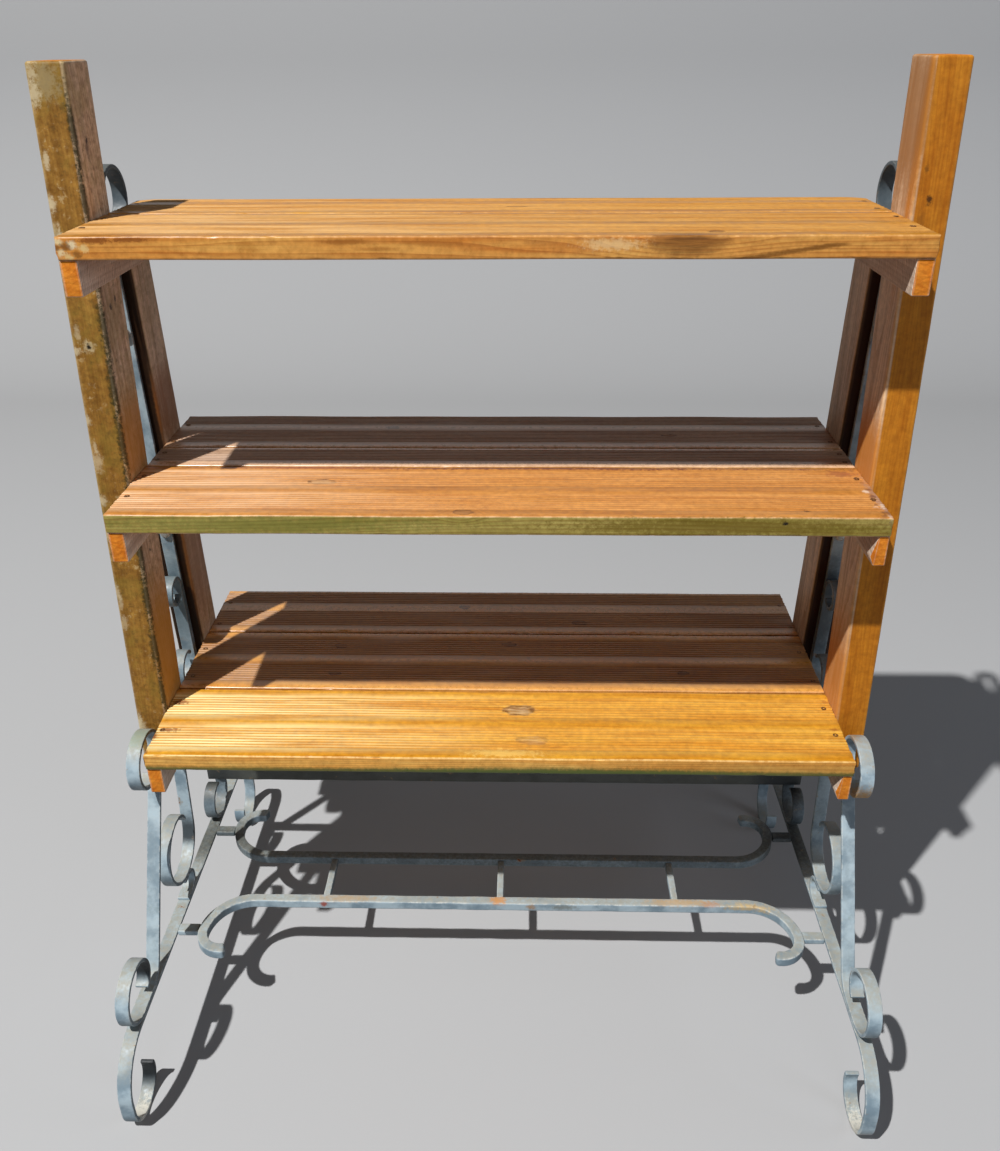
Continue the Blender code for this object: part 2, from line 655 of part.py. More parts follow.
SHELVES = (
    (
        "bottom",
        BOTTOM_SHELF_TOP,
        BOTTOM_SHELF_FRONT,
        (("front", FULL_BOARD_WIDTH), ("middle", FULL_BOARD_WIDTH), ("rear", BOTTOM_REAR_BOARD_WIDTH)),
    ),
    (
        "middle",
        MIDDLE_SHELF_TOP,
        MIDDLE_SHELF_FRONT,
        (("front", FULL_BOARD_WIDTH), ("strip", MIDDLE_STRIP_WIDTH), ("rear", MIDDLE_REAR_BOARD_WIDTH)),
    ),
    (
        "top",
        TOP_SHELF_TOP,
        TOP_SHELF_FRONT,
        (("front", FULL_BOARD_WIDTH), ("rear", TOP_REAR_BOARD_WIDTH)),
    ),
)
BEVELLED_CLEATS = {("right", "middle"), ("right", "bottom")}
COACH_SCREW = coach_screw_mesh()
CLEAT_SCREW = cleat_screw_mesh()

for end_name, end_side in SIDES.items():
    add_end(end_name, end_side)
add_stretchers()
add_rungs()
add_tabs()
add_cross_bar()
for shelf_name, shelf_top_height, shelf_front_edge, shelf_boards in SHELVES:
    add_shelf(shelf_name, shelf_top_height, shelf_front_edge, shelf_boards)
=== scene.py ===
from functools import partial
from math import atan, atan2, ceil, cos, pi, radians, sin, tan, tau

import bpy
import numpy as np
from mathutils import Matrix, Vector


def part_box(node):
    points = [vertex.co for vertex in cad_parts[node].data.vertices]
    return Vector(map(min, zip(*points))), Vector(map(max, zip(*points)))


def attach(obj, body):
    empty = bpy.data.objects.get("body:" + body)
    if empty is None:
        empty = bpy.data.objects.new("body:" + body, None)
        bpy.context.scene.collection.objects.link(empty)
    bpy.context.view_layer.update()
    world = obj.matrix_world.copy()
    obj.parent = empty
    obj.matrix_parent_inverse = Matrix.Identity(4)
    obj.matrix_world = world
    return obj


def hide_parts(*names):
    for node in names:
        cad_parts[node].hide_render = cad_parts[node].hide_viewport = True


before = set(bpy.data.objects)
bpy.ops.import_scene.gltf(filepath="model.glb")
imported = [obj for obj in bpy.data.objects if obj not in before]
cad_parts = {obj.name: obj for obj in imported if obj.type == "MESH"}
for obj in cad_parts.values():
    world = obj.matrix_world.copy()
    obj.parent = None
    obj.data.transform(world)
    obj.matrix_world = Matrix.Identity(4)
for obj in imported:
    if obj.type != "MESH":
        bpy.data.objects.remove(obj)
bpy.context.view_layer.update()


# Base rails: a mild steel flat bar at each end of the stand, forged hot so that both ends drop and curl
# under into feet. All the iron is brushed with grey-blue enamel, chalky and dusty where it faces up,
# worn to a pale undercoat on its arrises and rusting through in spots.
MM = 0.001
FIT = 0.3 * MM
STRAP_THICK = 5 * MM
STRAP_EASING = 1.1 * MM
RAIL_RUN = 250 * MM
FOOT_DROP_RADIUS = 66.5 * MM
FOOT_SHANK = 18 * MM
FOOT_CURL_RADIUS = 38 * MM
FOOT_TIP_RADIUS = 28 * MM
FOOT_TIP_TURN = radians(110)
RUN_STEP = 9 * MM
BEND_STEP = radians(4)
HAMMERED_LENGTH = 60 * MM
RAGGED_RIM = 3
SIDES = {"left": -1, "right": 1}
# Kinds of shader node: Blender's name, the sockets that values fill, the output in use, the settings.
NODE_KINDS = {
    "Attribute": ("Attribute", (), "Fac", {}),
    "Mapping": ("Mapping", ("Vector", "Scale", "Location", "Rotation"), 0, {}),
    "Noise": ("TexNoise", ("Vector", "Scale", "Detail", "Roughness", "Distortion"), "Fac", {}),
    "Wave": ("TexWave", ("Vector", "Scale", "Distortion", "Detail", "Detail Scale"), "Fac", {}),
    "Length": ("VectorMath", (0,), "Value", {"operation": "LENGTH"}),
    "Shift": ("VectorMath", (0, 1, 2), "Vector", {"operation": "MULTIPLY_ADD"}),
    "Math": ("Math", (0, 1), 0, {}),
    "Times": ("Math", (0, 1), 0, {"operation": "MULTIPLY"}),
    "Times plus": ("Math", (0, 1, 2), 0, {"operation": "MULTIPLY_ADD"}),
    "Larger": ("Math", (0, 1), 0, {"operation": "MAXIMUM"}),
    "Range": ("MapRange", range(5), 0, {}),
    "Ease": ("MapRange", range(5), 0, {"interpolation_type": "SMOOTHSTEP"}),
    "Blend": ("Mix", (0, 6, 7), 2, {"data_type": "RGBA"}),
    "Stain": ("Mix", (0, 6, 7), 2, {"data_type": "RGBA", "blend_type": "MULTIPLY"}),
    "Bump": ("Bump", ("Height", "Strength", "Distance", "Normal"), 0, {}),
    "Surface": ("BsdfPrincipled", ("Base Color", "Roughness", "Normal", "IOR", "Specular IOR Level"), 0, {}),
}


def box(node):
    """Lowest and highest corner of a CAD node as arrays."""
    return tuple(np.array(corner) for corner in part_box(node))


def linear(tint):
    """An sRGB hex colour as linear RGBA: each channel goes through the inverse of the sRGB curve."""
    channels = np.frombuffer(bytes.fromhex(tint), np.uint8) / 255
    low, high = channels / 12.92, ((channels + 0.055) / 1.055) ** 2.4
    return (*np.where(channels <= 0.04045, low, high).tolist(), 1)


def per_metre(size_in_mm):
    """Texture scale at which one feature of a pattern measures this many millimetres."""
    return 1000 / size_in_mm


def add_node(tree, kind, *values, **named):
    """Add a shader node and return the output that its kind names, or else all its outputs. Values fill the
    sockets that the kind lists, and named ones a socket or a setting; a text in a socket is a hex colour."""
    shader, sockets, output, settings = NODE_KINDS.get(kind, (kind, (), None, {}))
    node = tree.nodes.new("ShaderNode" + shader)
    for key, value in {**settings, **dict(zip(sockets, values)), **named}.items():
        if isinstance(key, str) and key not in node.inputs:
            setattr(node, key, value)
        elif isinstance(value, bpy.types.NodeSocket):
            tree.links.new(value, node.inputs[key])
        else:
            node.inputs[key].default_value = linear(value) if isinstance(value, str) else value
    return node.outputs if output is None else node.outputs[output]


def new_material(name):
    """An empty node material, and add_node for its tree."""
    material = bpy.data.materials.new(name)
    material.use_nodes = True
    material.node_tree.nodes.clear()
    return material, partial(add_node, material.node_tree)


def swell(points, size, seed):
    """Smooth unevenness of about -1 to 1: sine waves of roughly one length in random directions, added up."""
    rng = np.random.default_rng(seed)
    ways = rng.normal(size=(points.shape[-1], 9))
    ways *= tau / size * rng.uniform(0.6, 1.7, 9) / np.linalg.norm(ways, axis=0)
    return np.sin(points @ ways + rng.uniform(0, tau, 9)).sum(-1) / 4


def run(length):
    """A straight stretch as rows of (turn, length): equal steps that don't turn."""
    count = ceil(length / RUN_STEP)
    return np.c_[np.zeros(count), np.full(count, length / count)]


def bend(turn, radius, last_radius=None):
    """An arc as rows of (turn, length): equal turns with chords 2 r sin(turn / 2), r changing evenly."""
    count = ceil(abs(turn) / BEND_STEP)
    share = (np.arange(count) + 0.5) / count
    radii = radius + ((last_radius or radius) - radius) * share
    return np.c_[np.full(count, turn / count), 2 * radii * sin(abs(turn) / count / 2)]


def forge(start, heading, *stretches):
    """Middle line of a bar in a plane: each step turns by half its turn, goes its length, and turns the rest."""
    turns, lengths = np.vstack(stretches).T
    ahead = heading + np.cumsum(turns) - turns / 2
    steps = lengths[:, None] * np.c_[np.cos(ahead), np.sin(ahead)]
    return np.vstack([start, start + np.cumsum(steps, axis=0)])


def there_and_back(one_way, other_way):
    """Two lines that leave the same point in opposite directions, as one line from tip to tip."""
    return np.vstack([one_way[:0:-1], other_way])


def eased_section(width, height, easing, flats=3, rises=1):
    """Rectangle with arcs at its corners, as a ring (across, up) from the middle of the left side over the top
    and back underneath, so that point i lies over point N-1-i; and 1 on its arrises, else 0."""
    turn = np.linspace(pi, pi / 2, 4)
    corner = np.c_[np.cos(turn), np.sin(turn)] * easing + (easing - width / 2, height / 2 - easing)
    rise = (np.arange(rises) + 0.5) / rises * (height / 2 - 1.6 * easing)
    left = np.vstack([np.c_[np.full(rises, -width / 2), rise], corner])
    flat = np.linspace(1.6 * easing - width / 2, width / 2 - 1.6 * easing, flats)
    upper = np.vstack([left, np.c_[flat, np.full(flats, height / 2)], left[::-1] * (-1, 1)])
    worn = np.r_[np.zeros(rises), 0.3, 1, 1, 0.3]
    worn = np.r_[worn, np.zeros(flats), worn[::-1]]
    return np.vstack([upper, upper[::-1] * (1, -1)]), np.r_[worn, worn[::-1]]


def carry(section, path, across, easing, seed, up=None, uneven=(0.012, 0.035), flare=(1, 1)):
    """Rings of a section carried along a path: its first axis lies on `across`, its second square to that and
    to the path unless given. The ends round over by the easing, both axes swell like hammered bar, and the
    second grows towards the tips by the flare's ratio over the flare's length."""
    walked = np.r_[0, np.cumsum(np.linalg.norm(np.diff(path, axis=0), axis=1))]
    ends = easing * (1 - np.cos(np.linspace(0, pi / 2, 6)))
    between = walked[(walked > 2 * easing) & (walked < walked[-1] - 2 * easing)]
    stations = np.r_[ends, between, walked[-1] - ends[::-1]]
    line = np.column_stack([np.interp(stations, walked, values) for values in path.T])
    to_tip = np.minimum(stations, walked[-1] - stations)
    inset = easing - np.sqrt(easing**2 - np.clip(easing - to_tip, 0, None) ** 2)
    if up is None:
        up = np.cross(np.gradient(line, stations, axis=0), across)
        up /= np.linalg.norm(up, axis=1, keepdims=True)
    scale = 1 - inset[:, None] / np.abs(section).max(axis=0)
    scale *= 1 + np.array(uneven) * np.column_stack([swell(line, HAMMERED_LENGTH, seed + i) for i in (0, 1)])
    scale[:, 1] *= np.interp(to_tip, [0, flare[1]], [flare[0], 1])
    axes = np.stack([np.broadcast_to(across, line.shape), np.broadcast_to(up, line.shape)], axis=1)
    return line[:, None] + (section * scale[:, None]) @ axes


def skin(name, rings, **attributes):
    """Closed mesh over rings of points (stations x points x 3): quads between neighbouring rings and, over
    each end, a strip of quads between the points i and N-1-i. Keywords become point attributes."""
    stations, count = rings.shape[:2]
    index = np.arange(stations * count).reshape(stations, count)
    here, there = index[:-1], index[1:]
    sides = np.stack([here, np.roll(here, -1, 1), np.roll(there, -1, 1), there], axis=-1).reshape(-1, 4)
    near = np.arange(count // 2 - 1)
    cap = np.stack([near, near + 1, count - 2 - near, count - 1 - near], axis=-1)
    faces = np.vstack([sides, index[0][cap][:, ::-1], index[-1][cap]])
    points = rings.reshape(-1, 3)
    corners = points[faces] - points.mean(axis=0)
    volume = np.einsum("fi,fi->", corners[:, 0], np.cross(corners[:, 1] - corners[:, 0], corners[:, 2]))
    if volume < 0:
        faces = faces[:, ::-1]
    mesh = bpy.data.meshes.new(name)
    mesh.from_pydata(points, [], faces)
    for key, values in attributes.items():
        layer = mesh.attributes.new(key, "FLOAT", "POINT")
        layer.data.foreach_set("value", np.broadcast_to(values, (stations, count)).ravel())
    return mesh


def show(name, data):
    """A new object in the scene for a mesh, a lamp or a camera."""
    thing = bpy.data.objects.new(name, data)
    bpy.context.scene.collection.objects.link(thing)
    return thing


def place(name, mesh, material, slot, *nodes, crease=40):
    """Put a finished piece on the stand in place of its CAD nodes, smooth but for edges past the crease."""
    mesh.shade_smooth()
    mesh.set_sharp_from_angle(angle=radians(crease))
    mesh.materials.append(material)
    piece = show(name, mesh)
    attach(piece, "root")
    if nodes:
        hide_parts(*nodes)


def spread(add, where, centre, radii):
    """Distance from a centre as a share of the radii, both in mm: 1 on the ellipsoid that they span."""
    shrink = 1 / (np.array(radii) * MM)
    return add("Length", add("Mapping", where, shrink, -np.array(centre) * MM * shrink))


def add_marks(add, where, colour, marks):
    """Blend marks into a colour, stains and painted light and shade alike. Each mark is (hex, centre, radii,
    strength), in mm: an ellipsoid in which the distance from the centre, roughened by noise, drops under the rim.
    A fifth number makes the rim smoother."""
    ragged = add("Noise", where, per_metre(5), 6, 0.8)
    for tint, centre, radii, strength, *smoother in marks:
        teeth = smoother[0] if smoother else RAGGED_RIM
        rim = add("Times plus", ragged, teeth, spread(add, where, centre, radii))
        inside = add("Ease", rim, teeth / 2 + 1.1, teeth / 2 + 0.3, 0, strength)
        colour = add("Blend", inside, colour, tint)
    return colour


def brushed_enamel(marks):
    """Grey-blue enamel brushed on mild steel. It gives a soft sheen over lumpy paint, patches of lighter
    and darker blue, cream dust on what faces up, painted shade underneath and on the side turned to +X, pale
    worn arrises, and small rust spots with brown halos."""
    material, add = new_material("brushed_enamel_on_mild_steel")
    coordinates = add("TexCoord")
    where = coordinates["Object"]
    facing = add("SeparateXYZ", Vector=coordinates["Normal"])
    patches = add("Noise", where, per_metre(38), 5, 0.62)
    speckle = add("Noise", where, per_metre(7), 5, 0.7)
    dusty = add("Range", speckle, 0.32, 0.62, 0.3, 0.95)
    dust = add("Times", add("Ease", facing["Z"], 0.3, 0.9), dusty)
    # painted shade: faces turned down, and faces turned to +X away from the key lamp, are darkened
    painted_underside_shade = add("Ease", facing["Z"], 0.1, -0.6, 0, 0.55)
    painted_side_shade = add("Ease", facing["X"], 0.35, 0.85, 0, 0.72)
    chipped = add("Ease", speckle, 0.46, 0.6, 0, 0.7)
    chips = add("Times", add("Attribute", attribute_name="arris"), chipped)
    colour = add("Blend", add("Ease", patches, 0.36, 0.64), "7C909C", "B0C2CA")
    for cover, tint in ((dust, "A09E92"), (painted_underside_shade, "4C5658"), (painted_side_shade, "363E40"), (chips, "CDD0CB")):
        colour = add("Blend", cover, colour, tint)
    # the marks add rust, ochre, green and worn patches, and also painted shade
    colour = add_marks(add, where, colour, marks)
    spots = add("Noise", where, per_metre(21), 6, 0.72, 0.6)
    halo = add("Ease", spots, 0.63, 0.69, 0, 0.7)
    colour = add("Blend", halo, colour, "9C7E58")
    core = add("Ease", spots, 0.68, 0.72)
    colour = add("Blend", core, colour, "7E4420")
    rough = add("Larger", add("Range", speckle, 0.3, 0.7, 0.4, 0.66), core)
    lumps = add("Bump", speckle, 0.35, 0.6 * MM)
    brushing = add("Bump", patches, 0.4, 1.5 * MM, lumps)
    add("OutputMaterial", Surface=add("Surface", colour, rough, brushing, 1.5))
    return material


iron_marks_and_painted_shade = (
    # painted shade: the rear cross bar darkened as if in the bottom shelf's shadow
    ("3E3A2A", (0, 156, 206), (2000, 30, 50), 0.9, 0.5),
    # painted shade: black in the left foot's curl, low on the left brace's leg and on the left front upright's strap
    ("10161A", (-473, -243, 36), (60, 34, 46), 1, 0.2),
    ("10161A", (-473, -200, 178), (60, 15, 38), 1, 0.3),
    ("10161A", (-473, 18, 205), (40, 12, 44), 0.9, 0.5),
    # painted shade: the rear stretcher darkened as if in the bottom shelf's shadow
    ("34342A", (0, 84, 125), (1000, 72, 32), 0.85, 0.8),
    ("9C3C22", (-262, -46, 127), (8, 6, 6), 0.9),
    ("D28C3C", (-3, -38, 132), (15, 11, 7), 0.75),
    ("A87838", (46, -45, 126), (9, 5, 6), 0.7),
    ("6E6A58", (95, -45, 126), (24, 5, 6), 0.6),
    ("C8A068", (265, -38, 132), (60, 9, 6), 0.6),
    ("BC7A48", (312, -41, 132), (16, 7, 6), 0.5),
    ("D2B070", (362, -50, 131), (40, 14, 8), 0.75),
    ("B87036", (392, -74, 132), (12, 14, 7), 0.6),
    ("C09450", (-230, -38, 132), (50, 8, 6), 0.45),
    ("B0823E", (473, -108, 386), (40, 40, 36), 0.9, 2),
    ("A8865A", (462, -62, 456), (14, 22, 8), 0.6),
    ("BC8244", (471, -262, 108), (8, 12, 10), 0.7),
    ("DEDACC", (473, -304, 8), (34, 40, 22), 0.9),
    ("DEDACC", (-473, -300, 8), (34, 34, 16), 0.9),
    *(("8C9A78", (x, -170, 216), (24, 30, 10), 0.5) for x in (473, -473)),
    ("8C9A78", (-473, -74, 456), (24, 30, 10), 0.5),
    ("CFC6A2", (473, 20, 150), (24, 40, 14), 0.6),
    # painted shade: the rear irons low down at both ends, the rear uprights halfway up and the rear top loops
    ("1E2428", (-473, 150, 190), (60, 80, 90), 0.65, 0.5),
    ("1A2024", (450, 155, 230), (52, 180, 240), 0.9, 0.5),
    ("4E6068", (-473, 125, 540), (40, 60, 120), 0.75, 0.6),
    ("2A343A", (473, 125, 540), (40, 60, 120), 0.75, 0.6),
    *(("181E22", (x, 145, 1104), (80, 110, 110), 0.8, 0.6) for x in (-473, 473)),
)
enamel = brushed_enamel(iron_marks_and_painted_shade)
rail_low, rail_high = box("right_base_rail")
STRAP_WIDTH = rail_high[0] - rail_low[0]
IRON_X = (rail_high[0] + rail_low[0]) / 2
RAIL_HEIGHT = rail_high[2] - STRAP_THICK / 2
strap_section, strap_arris = eased_section(STRAP_WIDTH, STRAP_THICK, STRAP_EASING)


def add_strap(node, side, line):
    """A flat bar along a line in the side plane, (Y, Z), at the left or right end of the stand."""
    path = np.c_[np.full(len(line), side * IRON_X), line]
    rings = carry(strap_section, path, (1, 0, 0), STRAP_EASING, seed=len(bpy.data.meshes))
    place(f"{node}_strap", skin(node, rings, arris=strap_arris), enamel, "painted_iron", node)


half_rail = forge((0, RAIL_HEIGHT), 0, run(RAIL_RUN), bend(-pi / 2, FOOT_DROP_RADIUS), run(FOOT_SHANK),
                  bend(-pi / 2, FOOT_CURL_RADIUS), bend(-FOOT_TIP_TURN, FOOT_CURL_RADIUS, FOOT_TIP_RADIUS))
for end, side in SIDES.items():
    add_strap(f"{end}_base_rail", side, there_and_back(half_rail * (-1, 1), half_rail))


# Stretchers, rungs and tabs: square steel bar laid flat between the two base rails, each end bent outwards
# and hooked back to a blunt, upset tip. Three thinner square rungs tie the pair like a ladder, and a short
# flat tab is welded across between each hook and its rail.
STRETCHER_BAR = 14 * MM
FRONT_OFFSET = 38 * MM
REAR_OFFSET = 51 * MM
BEND_RADIUS = 62 * MM
HOOK_RADIUS = 31 * MM
HOOK_TURN = radians(105)
STRETCHER_TIP = 16 * MM
STRETCHER_FLARE = 30 * MM
TIP_EASING = 5 * MM
BAR_EASING = 1.6 * MM
BAR_STEP = 6 * MM

stretcher_low, stretcher_high = box("front_stretcher")
stretcher_reach = (stretcher_high[0] - stretcher_low[0] - STRETCHER_BAR) / 2
half_stretcher = forge((0, 0), 0, run(stretcher_reach - BEND_RADIUS),
                       bend(pi / 2, BEND_RADIUS), bend(HOOK_TURN, HOOK_RADIUS))
stretcher_line = there_and_back(half_stretcher * (-1, 1), half_stretcher)
bar_section, bar_arris = eased_section(STRETCHER_BAR, STRETCHER_BAR, BAR_EASING)
for row, way, offset in (("front", -1, -FRONT_OFFSET), ("rear", 1, REAR_OFFSET)):
    node = f"{row}_stretcher"
    path = np.c_[stretcher_line * way + (0, offset), np.full(len(stretcher_line), RAIL_HEIGHT)]
    rings = carry(bar_section, path, (0, 0, 1), TIP_EASING, seed=way + 40,
                  flare=(STRETCHER_TIP / STRETCHER_BAR, STRETCHER_FLARE))
    place(f"{node}_bar", skin(node, rings, arris=bar_arris), enamel, "painted_iron", node)


def middle_line(low, high, axis, step):
    """Points about a step apart along one axis, through the middle of a box."""
    path = np.tile((low + high) / 2, (ceil((high - low)[axis] / step) + 1, 1))
    path[:, axis] = np.linspace(low[axis], high[axis], len(path))
    return path


def add_bar(node, axis, easing, seed):
    """A straight bar that fills its CAD node's box, carried along one of the three axes."""
    low, high = box(node)
    size = high - low
    across, up = (axis + 1) % 3, (axis + 2) % 3
    path = middle_line(low, high, axis, BAR_STEP)
    section, arris = eased_section(size[across], size[up], easing)
    rings = carry(section, path, np.eye(3)[across], easing, seed, up=np.eye(3)[up])
    place(f"{node}_bar", skin(node, rings, arris=arris), enamel, "painted_iron", node)


for seed, rung in enumerate(("left", "middle", "right")):
    add_bar(f"{rung}_rung", 1, BAR_EASING, seed)
for end in SIDES:
    for seed, row in enumerate(("front", "rear")):
        add_bar(f"{end}_{row}_tab", 0, BAR_EASING, seed + 5)


# Front braces, uprights and scrolls: more of the same flat bar, each length curled at its ends on a forming
# jig, welded to the base rail and to its neighbours. The uprights run up the posts' inner faces and are
# screwed to them; the braces lean from the rail to the front posts.
LOOP_TURN = radians(200)
TIP_TURN = radians(140)
TIP_TIGHTENING = 0.5
BRACE_HEEL = -203 * MM
BRACE_SOLE = 32 * MM
BRACE_LOOP_RADIUS = 38.5 * MM
BRACE_LOOP_HEIGHT = 418 * MM
FRONT_LOOP_RADIUS = 53 * MM
FRONT_LOOP_UNDERSIDE = 167 * MM
REAR_FOOT_LOOP_RADIUS = 33.5 * MM
REAR_JOG = radians(35)
REAR_JOG_RADIUS = 60 * MM
REAR_TOP_LOOP_RADIUS = 34.5 * MM
REAR_LOOP_CLEARANCE = 5 * MM
LINK_START = -42 * MM
LINK_RUN = 18 * MM
SCROLL_MIDDLE = 518 * MM
SCROLL_RISE = 53 * MM
SCROLL_DROP = 75 * MM
SCROLL_TOP_RADIUS = 19.5 * MM
SCROLL_FOOT_RADIUS = 27.5 * MM
POST_DEPTH = 66 * MM
ON_RAIL = RAIL_HEIGHT + STRAP_THICK + FIT

front_low, front_high = box("left_front_post")
rear_high = box("left_rear_post")[1]
POST_LEAN = atan((front_high[1] - front_low[1] - POST_DEPTH) / (front_high[2] - front_low[2]))
POST_AXIS = (front_low[1] + rear_high[1]) / 2
POST_SPREAD = (rear_high[1] - front_low[1]) / 2
POST_FOOT = front_low[2]


def outer_reach(height):
    """How far the posts' outer faces stand from the middle of the end frame at a height."""
    return POST_SPREAD - (height - POST_FOOT) * tan(POST_LEAN)


def inner_reach(height, clearance):
    """The same for a line that keeps this clearance from the posts' inner faces."""
    return outer_reach(height) - POST_DEPTH - clearance / cos(POST_LEAN)


def loop(side, radius):
    """A scroll's curl to the left (1) or right (-1): an even arc that then tightens into its tip."""
    return np.vstack([bend(side * LOOP_TURN, radius), bend(side * TIP_TURN, radius, radius * TIP_TIGHTENING)])


brace_to_post = (BRACE_LOOP_RADIUS + STRAP_THICK / 2 + FIT) / cos(POST_LEAN)
brace_heel = np.array([BRACE_HEEL, ON_RAIL])
brace_loop = np.array([POST_AXIS - outer_reach(BRACE_LOOP_HEIGHT) - brace_to_post, BRACE_LOOP_HEIGHT])
brace_leg = brace_loop - brace_heel - (0, BRACE_LOOP_RADIUS)
front_brace = there_and_back(
    forge(brace_heel, pi, run(BRACE_SOLE), loop(-1, BRACE_LOOP_RADIUS)),
    forge(brace_heel, 0, bend(atan2(brace_leg[1], brace_leg[0]), BRACE_LOOP_RADIUS),
          run(np.linalg.norm(brace_leg)), loop(1, BRACE_LOOP_RADIUS)))

front_start = FRONT_LOOP_UNDERSIDE + STRAP_THICK / 2 + FRONT_LOOP_RADIUS * (1 - sin(POST_LEAN))
front_start = np.array([POST_AXIS - inner_reach(front_start, FIT + STRAP_THICK / 2), front_start])
front_top = box("left_front_upright")[1][2] - STRAP_THICK / 2 * sin(POST_LEAN)
front_upright = there_and_back(
    forge(front_start, -pi / 2 - POST_LEAN, loop(-1, FRONT_LOOP_RADIUS)),
    forge(front_start, pi / 2 - POST_LEAN, run((front_top - front_start[1]) / cos(POST_LEAN))))

jog_heading = POST_LEAN - pi / 2 + REAR_JOG
rear_start = (ON_RAIL + REAR_FOOT_LOOP_RADIUS - REAR_JOG_RADIUS * sin(POST_LEAN)
              + (REAR_JOG_RADIUS + REAR_FOOT_LOOP_RADIUS) * cos(jog_heading))
rear_start = np.array([POST_AXIS + inner_reach(rear_start, FIT + STRAP_THICK / 2), rear_start])
rear_top = rear_high[2] + REAR_LOOP_CLEARANCE + STRAP_THICK / 2 + REAR_TOP_LOOP_RADIUS * (1 - sin(POST_LEAN))
rear_upright = there_and_back(
    forge(rear_start, POST_LEAN - pi / 2, bend(REAR_JOG, REAR_JOG_RADIUS), loop(-1, REAR_FOOT_LOOP_RADIUS)),
    forge(rear_start, POST_LEAN + pi / 2, run((rear_top - rear_start[1]) / cos(POST_LEAN)),
          loop(-1, REAR_TOP_LOOP_RADIUS)))

link_radius = (FRONT_LOOP_UNDERSIDE - FIT - STRAP_THICK / 2 - ON_RAIL) / 2
link_scroll = forge((LINK_START, ON_RAIL), 0, run(LINK_RUN), bend(pi, link_radius), run(LINK_RUN))

scroll_start = (POST_AXIS + inner_reach(SCROLL_MIDDLE, 2 * FIT + 1.5 * STRAP_THICK), SCROLL_MIDDLE)
upper_scroll = there_and_back(
    forge(scroll_start, POST_LEAN - pi / 2, run(SCROLL_DROP), loop(-1, SCROLL_FOOT_RADIUS)),
    forge(scroll_start, POST_LEAN + pi / 2, run(SCROLL_RISE), loop(1, SCROLL_TOP_RADIUS)))

straps = {"front_brace": front_brace, "front_upright": front_upright, "rear_upright": rear_upright,
          "link_scroll": link_scroll, "upper_scroll": upper_scroll}
for end, side in SIDES.items():
    for strap, line in straps.items():
        add_strap(f"{end}_{strap}", side, line)


# Rear cross bar: a flat bar on edge from end to end, welded to the fronts of the two rear uprights low down,
# where it keeps the end frames square to each other.
add_bar("rear_cross_bar", 0, STRAP_EASING, seed=9)


# Posts: planed softwood, 42 by 66 mm, cut level at both ends so that each pair leans in. They are stained
# olive-brown on the left and orange on the right, with pale grey inner faces whose tone is partly painted
# skylight, and warm patches on those faces are painted bounce light from the boards and, on the right, painted
# sunlight; the stain has worn through to the wood in patches, and the rear posts' front faces carry painted shade.
POST_EASING = 3 * MM
POST_STEP = 8 * MM
WAVE_UNIT = tau / 20
KNOT_RAGGEDNESS = 14
WOOD_PARTS = ("edge", "cut", "arris", "band", "groove")


